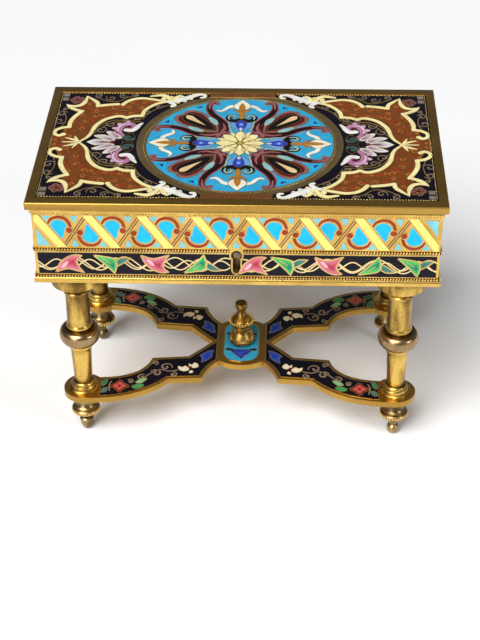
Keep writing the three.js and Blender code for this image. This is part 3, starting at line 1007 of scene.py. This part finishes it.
# %% Medallion
medallion = Panel("medallion", on_lid)
medallion.cell(circle(0, 0, 35.4, 96), 0.14, TURQUOISE, rim=0)
quarter = medallion.mark()
limb = [(8.4, 5.6), (6.2, 11.4), (6.9, 15.4), (8.6, 18.8), (11.2, 22.6), (12.7, 27), (12.5, 30.6),
        (11, 32.8), (9.7, 31.4)]
limb_widths = (2.4, 3, 2.6, 2.2, 1.7, 1.3)
for path in (limb, [(y, x) for x, y in limb]):
    line = smooth(path)
    medallion.ribbon(line, [w + 1.0 for w in limb_widths], 0.17, ROSE, rim=0)
    medallion.ribbon(line, limb_widths, 0.21, MAROON, rim=0)
    medallion.ribbon(line[2:-6], [0.7 * w for w in limb_widths], 0.225, BLACK, rim=0.1)
    medallion.ribbon(smooth(path[:3]), (1.5, 1.2, 0.4), 0.24, tone(150, 92, 92), rim=0)
    medallion.ribbon(smooth(path[5:]), (0.5, 1.2, 0.9), 0.245, ROSE, rim=0.1)
for half, height, tint, rim in (
    ([(9, 0), (11, 5), (15, 7.6), (20, 7.2), (23, 4), (24, 0)], 0.19, DUSK, 0),
    ([(12, 0), (15.6, 3.2), (20.6, 4.9), (26.4, 6.1), (30.8, 5.3), (32.8, 2.9), (32, 0)], 0.23,
     ROSE, 0.22),
    ([(13, 0), (16.2, 2.5), (21, 3.9), (26.4, 5), (30, 4.3), (31.4, 2.2), (31, 0)], 0.25,
     MAROON, 0.22),
    ([(14, 0), (18, 2.3), (24, 3.3), (29, 3), (31, 0)], 0.27, BLACK, 0.22),
    ([(18.6, 0), (24, 0.8), (28.4, 1.4), (30.2, 0)], 0.30, tone(240, 208, 152), 0.16),
):
    medallion.cell(moved(about_x(smooth(half)), angle=45), height, tint, rim)
for path in ([(9.4, 14.6), (10.6, 17.2), (12, 19.4)], [(14.6, 9.4), (17.2, 10.6), (19.4, 12)]):
    medallion.ribbon(smooth(path), (1.4, 2.5, 1.6), 0.30, CELADON, rim=0.2)
    medallion.ribbon(smooth(path), (0.3, 1, 0.4), 0.32, PALE_BLUE, rim=0)
for path in ([(13.9, 31.6), (14.2, 26), (21.4, 26.9)], [(31.6, 13.9), (26, 14.2), (26.9, 21.4)]):
    medallion.cell(path, 0.17, SKY, rim=0.24)
    x, y = (sum(p[k] for p in path) / 3 for k in (0, 1))
    small = [(x + 0.34 * (px - x), y + 0.34 * (py - y)) for px, py in path]
    medallion.cell(small, 0.2, tone(24, 60, 140), rim=0.16)
medallion.repeat(quarter, OTHER_QUARTERS)

# %% Brackets, drops and lilies
axis = medallion.mark()
halo = both_sides([(0, 9), (2.6, 11), (4, 13.6), (3.9, 16.6), (2.2, 18.2), (0, 18.4)])
medallion.cell(blob(halo), 0.2, tone(104, 166, 226), rim=0.16)
bead = both_sides([(0, 9.2), (1.3, 11.6), (2.1, 14.4), (1.7, 16.8), (0, 17.8)])
medallion.cell(blob(bead), 0.27, COBALT, core=(0, 14), heart=tone(70, 104, 214))
glint = both_sides([(0, 9.4), (0.7, 10.8), (0.5, 11.8), (0, 12)])
medallion.cell(glint, 0.285, tone(196, 210, 238), rim=0)
# A pale dot in the middle of each drop is a painted highlight.
medallion.cell(circle(0, 14.6, 0.7, 12), 0.29, tone(150, 178, 232), rim=0)
curl = [(0.2, 18.6), (2.6, 17.4), (4.7, 18.6), (4.9, 20.8), (3.3, 21.7), (2.4, 20.5)]
edge = [(3.6, 9.6), (4.3, 12.4), (4.7, 15.6), (5.4, 18.2)]
moustache = [(1.4, 28.6), (3.6, 29.3), (5.4, 28.4), (6.7, 26.5), (8.2, 25.3), (9.6, 25.9)]
for sign in (1, -1):
    for line, widths, height, tint, rim in (
        (curl, (2.4, 2.2, 1.8, 1.3), 0.26, BLACK, 0.2),
        (curl[2:], (0.5, 0.9, 1.1), 0.30, CELADON, 0),
        (edge, 0.6, 0.22, CELADON, 0.14),
        (moustache, (1.9, 1.7, 1.4, 0.7), 0.25, WHITE, 0.22),
        (moustache[:3], (0.9, 0.7, 0.2), 0.265, PALE_YELLOW, 0),
    ):
        medallion.ribbon(flipped(smooth(line), sign), widths, height, tint, rim)
lily = [(0, 34.6), (1.7, 32.4), (3.3, 29.8), (2.9, 27.7), (1.4, 26.3), (0, 25.8)]
medallion.cell(both_sides(smooth(lily)), 0.30, WHITE, core=(0, 28.2), heart=PALE_YELLOW)
medallion.ribbon([(0, 19.6), (0, 23), (0, 26.4)], (1.5, 1.9, 1.5), 0.28, OCHRE)
spear = blob(both_sides([(0, 24.6), (1, 26.4), (1.1, 28.4), (0, 31.6)]))
medallion.cell(spear, 0.33, OCHRE, rim=0.16)
for sign in (1, -1):
    prong = flipped([(0.3, 24.2), (1.9, 25), (3, 26.6)], sign)
    medallion.ribbon(smooth(prong), (1, 1, 0.4), 0.34, OCHRE, rim=0.14)
medallion.repeat(axis, [lambda p, a=a: moved([p], angle=a)[0] for a in (90, 180, 270)])

# %% Rosette
for half, angle, height, tint, rim in (
    ([(0, 2.4), (1.1, 5.2), (0.8, 7.6), (0, 9.9)], 22.5, 0.29, CREAM, 0.24),
    ([(0, 1), (1.3, 3.2), (2.1, 5.2), (1.7, 7.2), (0.9, 8.4), (0, 9.2)], 0, 0.315, CREAM, 0.2),
    ([(0, 1.2), (0.26, 3), (0.22, 5), (0, 6.6)], 22.5, 0.34, tone(150, 118, 52), 0),
):
    for k in range(8):
        medallion.cell(moved(both_sides(half), angle=45 * k + angle), height, tint, rim)
medallion.cell(circle(0, 0, 1.2, 16), 0.345, tone(196, 160, 70), rim=0.22)
medallion.finish("lid")

# %% [markdown]
# ### Border and ring
# Two thin dark lines of painted shade mark engraved grooves round the plain border, and tiny
# pearls stand in a row just inside it.
# The bronze ring round the medallion has two gold edges and a rope of slanted beads.

# %% The lid's border
BORDER_X, BORDER_Y = 74.6, 44.1
PEARL_PITCH, PEARL_DEPTH = 1.05, 0.22


def closed_strip(outline, other, height):
    """A flat strip between two closed outlines of as many points, for flat_piece."""
    count = len(outline)
    faces = [(i, (i + 1) % count, count + (i + 1) % count, count + i) for i in range(count)]
    return outline + other, faces, [WHITE] * (2 * count), height, on_lid


def frame_line(inset, width, height):
    x, y = BORDER_X - inset, BORDER_Y - inset
    corners = [(x, y), (-x, y), (-x, -y), (x, -y)]
    inner = [(math.copysign(abs(a) - width, a), math.copysign(abs(b) - width, b))
             for a, b in corners]
    return closed_strip(corners, inner, height)


# The two border lines are dark strips: painted shade for engraved grooves.
grooves = [frame_line(inset, 0.22, FIELD_DEPTH - 0.02) for inset in (0.9, 1.5)]
flat_piece("border_groove_shade", grooves, 0.1, painted_groove_shade, "lid", "enamelled_gilt")
pearls = []
for sign in (1, -1):
    for half_length, offset, upright in ((70.9, 39.4, False), (39.0, 71.0, True)):
        for along in spread(half_length, PEARL_PITCH):
            x, y = (sign * offset, along) if upright else (along, sign * offset)
            heading = (0, 1, 0) if upright else (1, 0, 0)
            pearls.append(((x, y, LID_TOP - PEARL_DEPTH), heading, (0, 0, 1)))
beads("field_pearls", pearls, (0.42, 0.26, 0.2), wire_gold, "lid", "enamelled_gilt")

# %% The ring
RING_RADIUS, RING_WIDTH, RING_EDGES = 36.8, 3.4, (35.2, 38.5)
ROPE_RADIUS, ROPE_TURNS, ROPE_LEAN = 35.85, 210, 0.7


def closed_ring(radius, width, height):
    inner, outer = (circle(0, 0, radius + side * width / 2, 120) for side in (-1, 1))
    return closed_strip(inner, outer, height)


flat_piece("ring_plate", [closed_ring(RING_RADIUS, RING_WIDTH, 0.28)], 0.2, ring_bronze, "lid",
           "gilt")
flat_piece("ring_edges", [closed_ring(radius, 0.35, 0.33) for radius in RING_EDGES], 0.2,
           wire_gold, "lid", "gilt")
rope = []
for i in range(ROPE_TURNS):
    a = 2 * math.pi * i / ROPE_TURNS
    place = (ROPE_RADIUS * math.cos(a), ROPE_RADIUS * math.sin(a), LID_TOP - 0.12)
    rope.append((place, (-math.sin(a - ROPE_LEAN), math.cos(a - ROPE_LEAN), 0), (0, 0, 1)))
beads("ring_rope", rope, (0.5, 0.26, 0.1), wire_gold, "lid", "gilt")

# %% [markdown]
# ## The box's mouldings
# Plain gilt mouldings frame the two enamel bands. Each is a short profile carried along a side. At
# a corner it runs on by as much as it stands out, so that two sides meet in a mitre. Three ropes of
# slanted beads lie along them, two of these over a dark strip that is painted shade in the gaps
# between the beads.

# %% Sides of the box
box_low, box_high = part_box("casket_body")
BOX_X, BOX_Y, BOX_BASE = 1000 * box_high.x, 1000 * box_high.y, 1000 * box_low.z
HALF_WIDTH = {"front": BOX_X, "back": BOX_X, "left": BOX_Y, "right": BOX_Y}
KEYHOLE_Z = 13.0


def on_side(side):
    """Where x along a side, y up it and h out from it lie on the casket."""
    return {
        "front": lambda x, y, h: (x, -BOX_Y - h, BOX_BASE + y),
        "back": lambda x, y, h: (-x, BOX_Y + h, BOX_BASE + y),
        "right": lambda x, y, h: (BOX_X + h, x, BOX_BASE + y),
        "left": lambda x, y, h: (-BOX_X - h, -x, BOX_BASE + y),
    }[side]


# %% Mouldings
def mouldings(name, profile, material, gap=None):
    """A profile of (height, stand-out) points along every side; gap leaves room in the front."""
    points, faces = [], []
    for side, half in HALF_WIDTH.items():
        place = on_side(side)
        runs = [(-half, half)]
        if gap and side == "front":
            runs = [(-half, gap[0]), (gap[1], half)]
        for run in runs:
            first, count = len(points), len(profile)
            for end in run:
                for y, h in profile:
                    mitre = h if end == half else -h if end == -half else 0
                    points.append(Vector(place(end + mitre, y, h)) * MM)
            for i in range(count):
                k = (i + 1) % count
                faces.append((first + i, first + count + i, first + count + k, first + k))
            faces.append(tuple(first + i for i in range(count)))
            faces.append(tuple(first + count + i for i in reversed(range(count))))
    piece = new_piece(name, points, faces)
    print(name, len(faces), "faces")
    finish_faces(crease=40)
    settle(piece, material, "stand", "gilt")


KEYHOLE_GAP = (-2.5, 2.5)
mouldings("top_moulding", [(30.2, -0.1), (30.2, 0.35), (30.5, 0.6), (31.1, 0.6), (31.6, 0.35),
                           (31.9, 0.1), (31.9, -0.1)], gilt)
mouldings("bottom_moulding", [(0.5, -0.1), (0.5, 0.3), (0.9, 0.8), (1.8, 1.0), (2.6, 0.8),
                              (2.95, 0.5), (3.0, -0.1)], gilt)

# %% Ropes
ROPE_PITCH, ROPE_SLANT = 1.05, (0.62, 0.78)
# The dark strips behind the bead ropes are painted shade in the gaps between the beads.
mouldings("rope_groove_shade", [(14.35, -0.1), (14.35, 0.3), (15.35, 0.3), (15.35, -0.1)],
          painted_groove_shade, KEYHOLE_GAP)
mouldings("lower_rope_groove_shade", [(3.0, -0.1), (3.0, 0.45), (4.0, 0.45), (4.0, -0.1)],
          painted_groove_shade)
for name, height, stand, size in (
    ("middle_rope", 14.85, 0.45, (0.8, 0.31, 0.42)), ("lower_rope", 3.6, 0.55, (0.7, 0.3, 0.42)),
    ("top_rope", 29.9, 0.4, (0.56, 0.3, 0.32)),
):
    spots = []
    for side, half in HALF_WIDTH.items():
        place = on_side(side)
        middle_of_side = Vector(place(0, 0, 0))
        lean = Vector(place(*ROPE_SLANT, 0)) - middle_of_side
        out = Vector(place(0, 0, 1)) - middle_of_side
        for x in spread(half, ROPE_PITCH):
            if name == "middle_rope" and side == "front" and KEYHOLE_GAP[0] < x < KEYHOLE_GAP[1]:
                continue
            spots.append((place(x, height, stand), lean, out))
    beads(name, spots, size, wire_gold, "stand", "gilt")

# %% [markdown]
# ## The upper band
# Here most of the gilt wall still shows. Broad cream bars lean across it. Between two bars three
# gold wires lean the other way, with brown between them, and on each side of them a red-brown hook
# curls round a sky-blue heart. A bay looks the same turned upside down, so half of it is drawn and
# then turned.

# %% Upper band
BAND_LOW, BAND_HIGH = 15.8, 29.6
BAND_MIDDLE, BAND_HALF = (BAND_LOW + BAND_HIGH) / 2, (BAND_HIGH - BAND_LOW) / 2
BAY, BAR_LEAN, BAR_HALF = 19.3, 4.9, 1.8
DIAGONAL_LEAN, WIRE_STEP, LINE_STEP = 4.5, 1.05, 0.52
END_MARGIN, BAND_THICKNESS = 0.7, 0.3


def clipped(outline, limit):
    """The part of an outline that lies between two uprights."""
    for sign in (1, -1):
        kept = []
        for (ax, ay), (bx, by) in zip(outline, outline[1:] + outline[:1]):
            a_in, b_in = sign * ax <= limit, sign * bx <= limit
            if a_in:
                kept.append((ax, ay))
            if a_in != b_in:
                t = (sign * limit - ax) / (bx - ax)
                kept.append((sign * limit, ay + t * (by - ay)))
        outline = kept
    return outline


def half_bay(panel, put):
    """A heart in a hook, a bead, and the scraps of blue beside them."""
    heart = [(-8.6, 2.2), (-8, 3.9), (-6.4, 4.8), (-4.5, 4.6), (-3, 3.4), (-2.6, 2),
             (-3.4, 0.8), (-3.6, -0.6), (-4, -2.1), (-4.8, -3.3), (-5.8, -1.9), (-7.2, 0)]
    panel.cell(put(blob(heart, 2)), 0.12, SKY, rim=0.28)
    hook = [(-9.3, 3.3), (-8.2, 5), (-6, 5.9), (-3.6, 5.5), (-2, 3.9), (-1.4, 1.8)]
    panel.ribbon(put(smooth(hook)), (0.7, 1.1, 1.2, 1.15, 1.2), 0.18, BRICK, rim=0.26)
    panel.cell(put(circle(-1.9, 0.5, 1.3, 14)), 0.21, BRICK, rim=0.26)
    for triangle in ([(-1.5, 6.5), (1.5, 6.5), (0.4, 3.4), (-0.5, 4.4)],
                     [(-11.8, 6.5), (-8.2, 6.5), (-10, 4)]):
        panel.cell(put(triangle), 0.12, PALE_BLUE, rim=0.22)


def diagonal(x, shift):
    return [(x + shift - DIAGONAL_LEAN, BAND_LOW), (x + shift + DIAGONAL_LEAN, BAND_HIGH)]


upper = Panel("upper_band")
for side, half in HALF_WIDTH.items():
    upper.place = on_side(side)
    edge = half - END_MARGIN
    bars = range(-4, 4) if half == BOX_X else range(-2, 3)
    first_bar = 0.5 if half == BOX_X else 0
    for bar in bars:
        x = (bar + first_bar) * BAY
        outline = [(x - BAR_LEAN - BAR_HALF, BAND_HIGH), (x - BAR_LEAN + BAR_HALF, BAND_HIGH),
                   (x + BAR_LEAN + BAR_HALF, BAND_LOW), (x + BAR_LEAN - BAR_HALF, BAND_LOW)]
        upper.cell(clipped(outline, edge), 0.2, PALE_GOLD, rim=0.34)
        if bar == bars[-1]:
            continue
        mid = (x + BAY / 2, BAND_MIDDLE)
        for shift in (-WIRE_STEP, 0, WIRE_STEP):
            upper.wire(diagonal(mid[0], shift), 0.42, 0.17)
        for shift in (-LINE_STEP, LINE_STEP):
            upper.ribbon(diagonal(mid[0], shift), 0.45, 0.1, tone(128, 76, 20), rim=0)
        for turn in (0, 180):
            half_bay(upper, lambda points: moved(points, angle=turn, shift=mid))
    for turn in (0, 180):
        corner = [(0.6 - edge, 0.8 - BAND_HALF), (0.6 - edge, 1.2), (5.4 - edge, 0.8 - BAND_HALF)]
        upper.cell(moved(corner, angle=turn, shift=(0, BAND_MIDDLE)), 0.12, PALE_BLUE, rim=0.34)
upper.finish("stand", BAND_THICKNESS)

# %% [markdown]
# ## The lower band
# On a nearly black ground three thin vines cross each other along each side. Pink leaves with a
# crimson heart take turns with green leaves that darken to teal. The front's ground is cut for the
# keyhole, so its outline runs in from the top edge, round the hole, and back.

# %% Lower band
VINE_LOW, VINE_HIGH, VINE_END = 4.3, 13.8, 0.9
VINE_MIDDLE = (VINE_LOW + VINE_HIGH) / 2
VINES = ((0.4, 2.4, 15.6), (2.9, 2.9, 18.3), (4.6, 1.7, 11.9))
VINE_STEP, VINE_GAP = 0.9, 2.4
LEAVES = {
    "front": (-60.4, -45, -29.2, -12.4, 6.2, 19, 33.6, 50.6, 64.6),
    "back": tuple(-62 + 15.5 * k for k in range(9)),
    "left": (-33, -16.5, 0, 16.5, 33), "right": (-33, -16.5, 0, 16.5, 33),
}
KEYHOLE_HEAD, KEYHOLE_SLOT, KEYHOLE_DROP, KEYHOLE_MARGIN = 2, 1.4, 7.6, 0.35


def keyhole_outline():
    """The keyhole with a margin, from the ground's top edge round and back to it."""
    head, slot = KEYHOLE_HEAD + KEYHOLE_MARGIN, KEYHOLE_SLOT + KEYHOLE_MARGIN
    top = math.asin((VINE_HIGH - KEYHOLE_Z) / head)
    sweep = math.pi / 2 - math.asin(slot / head) + top
    half = []
    for k in range(9):
        a = top - sweep * k / 8
        half.append((head * math.cos(a), KEYHOLE_Z + head * math.sin(a)))
    for k in range(5):
        a = math.pi * k / 8
        low = KEYHOLE_Z - KEYHOLE_DROP + KEYHOLE_SLOT - slot * math.sin(a)
        half.append((slot * math.cos(a), low))
    return half + [(-x, y) for x, y in reversed(half[:-1])]


def vine_line(low, high, phase, swing, spacing):
    steps = int((high - low) / VINE_STEP)
    spots = [low + (high - low) * i / steps for i in range(steps + 1)]
    return [(x, VINE_MIDDLE + swing * math.sin(2 * math.pi * x / spacing + phase)) for x in spots]


def pink_leaf(panel, put):
    bell = chain(
        [(-5.5, -3.9), (-3.6, 0.2), (-0.8, 2.7), (2, 3.7), (4.6, 3.4)],
        [(4.6, 3.4), (2.9, 1.9), (2.7, 0.2), (3.4, -1.8), (5.0, -4.0)],
        [(5.0, -4.0), (2, -3.1), (-1.2, -2.4), (-5.5, -3.9)],
    )
    panel.cell(put(bell), 0.23, PINK, rim=0.46, core=put([(1.1, 0.6)])[0], heart=CRIMSON)
    streak = [(-3.4, -1.8), (-1.6, 0.5), (-0.6, 0.4), (-2, -1.7)]
    panel.cell(put(blob(streak)), 0.26, BLUSH, rim=0)


def green_leaf(panel, put):
    blade = chain(
        [(-6.8, 3.7), (-3, 3.1), (0.2, 2.4), (1.4, 1.2)],
        [(1.4, 1.2), (1.6, -1), (0.6, -4.2)],
        [(0.6, -4.2), (-1.2, -2), (-3.4, 0.4), (-6.8, 3.7)],
    )
    panel.cell(put(blade), 0.23, LEAF_GREEN, rim=0.48, core=put([(0.2, -0.9)])[0], heart=TEAL)
    wing = chain([(1.2, 1.2), (3.4, 2.6), (6.8, 2.6)], [(6.8, 2.6), (4.2, 0.4), (1.6, -1.2)],
                 [(1.6, -1.2), (1.2, 1.2)])
    panel.cell(put(wing), 0.225, GREY_GREEN, rim=0.44, core=put([(2.4, 0.6)])[0], heart=TEAL)
    panel.wire(put([(-3.4, 2.2), (-0.6, 0)]), 0.26, 0.27)


vine = Panel("lower_band")
for side, half in HALF_WIDTH.items():
    vine.place = on_side(side)
    edge = half - VINE_END
    ground = [(-edge, VINE_LOW), (edge, VINE_LOW), (edge, VINE_HIGH), (-edge, VINE_HIGH)]
    runs = [(-edge, edge)]
    if side == "front":
        hole = keyhole_outline()
        ground = ground[:3] + hole + ground[3:]
        runs = [(-edge, -VINE_GAP), (VINE_GAP, edge)]
        vine.wire(hole, 0.4, 0.2)
    vine.cell(ground, 0.12, NAVY, rim=0.4)
    for wave in VINES:
        for low, high in runs:
            vine.ribbon(vine_line(low, high, *wave), 0.34, 0.17, tone(226, 208, 156), rim=0.1)
    for k, x in enumerate(LEAVES[side]):
        spot = {"shift": (x, VINE_MIDDLE), "flip": 1 if k % 4 < 2 else -1}
        last_on_front = side == "front" and k == len(LEAVES[side]) - 1
        leaf = pink_leaf if k % 2 == 0 and not last_on_front else green_leaf
        leaf(vine, lambda points, spot=spot: moved(points, **spot))
vine.finish("stand", BAND_THICKNESS)

# %% [markdown]
# ## The stretcher
# The stretcher's enamel follows its outline, just inside a gilt edge. A copy of the solid's top
# face gives that outline: it is merged, inset, and cut where the legs and the centre plate stand.
# One arm carries a blue leaf, cream petals, grey-gold scrolls, small leaves and a red flower. The
# other three arms are its mirror images.

# %% Stretcher ground
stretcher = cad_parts["stretcher"]
top_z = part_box("stretcher")[1].z
GROUND_INSET = 1.3
ARM_CUTS = (((54.4, 0, 0), (1, 0, 0)), ((9.9, 0, 0), (-1, 0, 0)), ((0, -0.9, 0), (0, 1, 0)))


def arm_ground():
    """The enamel's outline on the front right arm, in millimetres."""
    form = bmesh.new()
    form.from_mesh(stretcher.data)
    bmesh.ops.remove_doubles(form, verts=form.verts, dist=1e-6)
    side_faces = [f for f in form.faces if not all(near(v.co.z, top_z) for v in f.verts)]
    bmesh.ops.delete(form, geom=side_faces, context="FACES")
    inner_edges = [e for e in form.edges if len(e.link_faces) == 2]
    bmesh.ops.dissolve_edges(form, edges=inner_edges, use_verts=False)
    inset = bmesh.ops.inset_individual(form, faces=form.faces[:], thickness=GROUND_INSET * MM,
                                       use_even_offset=True)
    bmesh.ops.delete(form, geom=inset["faces"], context="FACES")
    for point, outwards in ARM_CUTS:
        everything = form.verts[:] + form.edges[:] + form.faces[:]
        bmesh.ops.bisect_plane(form, geom=everything, plane_co=Vector(point) * MM,
                               plane_no=outwards, clear_outer=True)
    largest = max(form.faces, key=lambda f: f.calc_area())
    outline = [(1000 * v.co.x, 1000 * v.co.y) for v in largest.verts]
    form.free()
    return outline


arm = arm_ground()
print("arm outline points", len(arm), "area", round(abs(signed_area(arm)), 1))


def on_stretcher(x, y, height):
    return x, y, 1000 * top_z + height


# %% Stretcher enamel
base = Panel("stretcher", on_stretcher)
all_arms = base.mark()
base.cell(arm, 0.08, NAVY, rim=0.3)
blue = chain(
    [(10.9, -6.2), (13, -6.6), (16.6, -9.6)], [(16.6, -9.6), (15.6, -11.4), (15.8, -14.4)],
    [(15.8, -14.4), (13.4, -12.8), (11.6, -10.6)], [(11.6, -10.6), (11.6, -8.6), (10.9, -6.2)],
)
base.cell(blue, 0.14, tone(54, 86, 188), rim=0.26, core=(13.4, -9.6), heart=tone(28, 48, 150))
for petal in (
    [(17, -15.6), (18.4, -14.6), (19.4, -16), (20.6, -15.2), (20.4, -17.4), (18.6, -18.2),
     (16.8, -17.4)],
    [(20.6, -18), (22, -16.8), (23.2, -17.6), (24.8, -17), (24.4, -19.2), (22.4, -20.4),
     (20.4, -19.6)],
    [(19.2, -19.6), (20.2, -20.4), (20, -21.6), (18.6, -21)],
):
    base.cell(blob(petal, 4), 0.15, tone(236, 226, 196), rim=0.16)
base.cell(circle(19.8, -17.6, 0.6, 10), 0.18, CRIMSON_BROWN, rim=0)
base.scrolls((
    (29.6, -17.6, 2.6, 190, -1), (33.2, -21.6, 2.3, 20, 1), (26.4, -22.4, 1.6, 90, 1),
    (34.2, -15, 1.5, 250, -1), (38.8, -24.4, 1.8, 120, -1), (43, -27.2, 1.3, 40, 1),
), (0.4, 0.8, 0.6), 0.12, GREY_GOLD)
for line in ([(24.8, -19.6), (28.4, -20.4), (32, -19.4), (36, -22.6), (39.4, -27)],
             [(50.4, -27.4), (51.2, -30), (50.6, -33.4)]):
    base.ribbon(smooth(line), 0.5, 0.115, GREY_GOLD, rim=0)
for leaf, tint in (
    ([(36.4, -25.4), (39, -25.6), (41, -28), (38.6, -28.4)], tone(128, 180, 122)),
    ([(37.4, -30), (39.4, -28.8), (42.4, -30.6), (40, -32.2)], tone(64, 140, 78)),
    ([(51.8, -25.6), (54, -27), (53.8, -30.4), (52.2, -29)], tone(60, 122, 92)),
    ([(51.6, -31.4), (53.6, -32), (54, -34.6), (51.8, -34)], tone(70, 110, 100)),
):
    base.cell(blob(leaf), 0.14, tint, rim=0.16)
BLOOM, POINT_REACH, NOTCH_REACH = (47, -30.4), 1.12, 0.72
for radius, tint, rim in ((3.5, tone(120, 20, 34), 0.3), (2.4, tone(204, 84, 90), 0.2),
                          (1.1, CRIMSON, 0.2)):
    bloom = []
    for k in range(8):
        reach = radius * (NOTCH_REACH if k % 2 else POINT_REACH)
        a = math.pi * k / 4
        bloom.append((BLOOM[0] + reach * math.cos(a), BLOOM[1] + reach * math.sin(a)))
    base.cell(blob(bloom), 0.2 - 0.02 * radius, tint, rim=rim)
base.repeat(all_arms, OTHER_QUARTERS)

# %% Centre plate
quarter = smooth([(7, 0), (7, 7.4), (6.2, 10.4), (4.2, 12.4), (0, 13.4)])
plate = quarter + flipped(reversed(quarter[:-1]), -1) + flipped(quarter[1:], -1, -1)
plate += flipped(reversed(quarter[1:-1]), 1, -1)
base.cell(plate, 0.1, TURQUOISE, rim=0.4)
for sign in (1, -1):
    spear = flipped([(-5, 5.4), (5, 5.4), (2.6, 8.4), (0, 11.6), (-2.6, 8.4)], 1, sign)
    base.cell(spear, 0.16, tone(20, 44, 156), core=(0, sign * 7.4), heart=tone(44, 80, 200))
    for side in (1, -1):
        leaf = flipped([(6.2, 4.6), (3.8, 4.8), (3, 5.9), (5.8, 6.2)], side, sign)
        base.cell(blob(leaf), 0.19, tone(8, 52, 78))
base.finish("stand", 0.08)

# %% [markdown]
# ## The end
# Nothing is left selected at the end. The dressed casket has to stay inside the solids' box.

# %% End
bpy.ops.object.select_all(action="DESELECT")
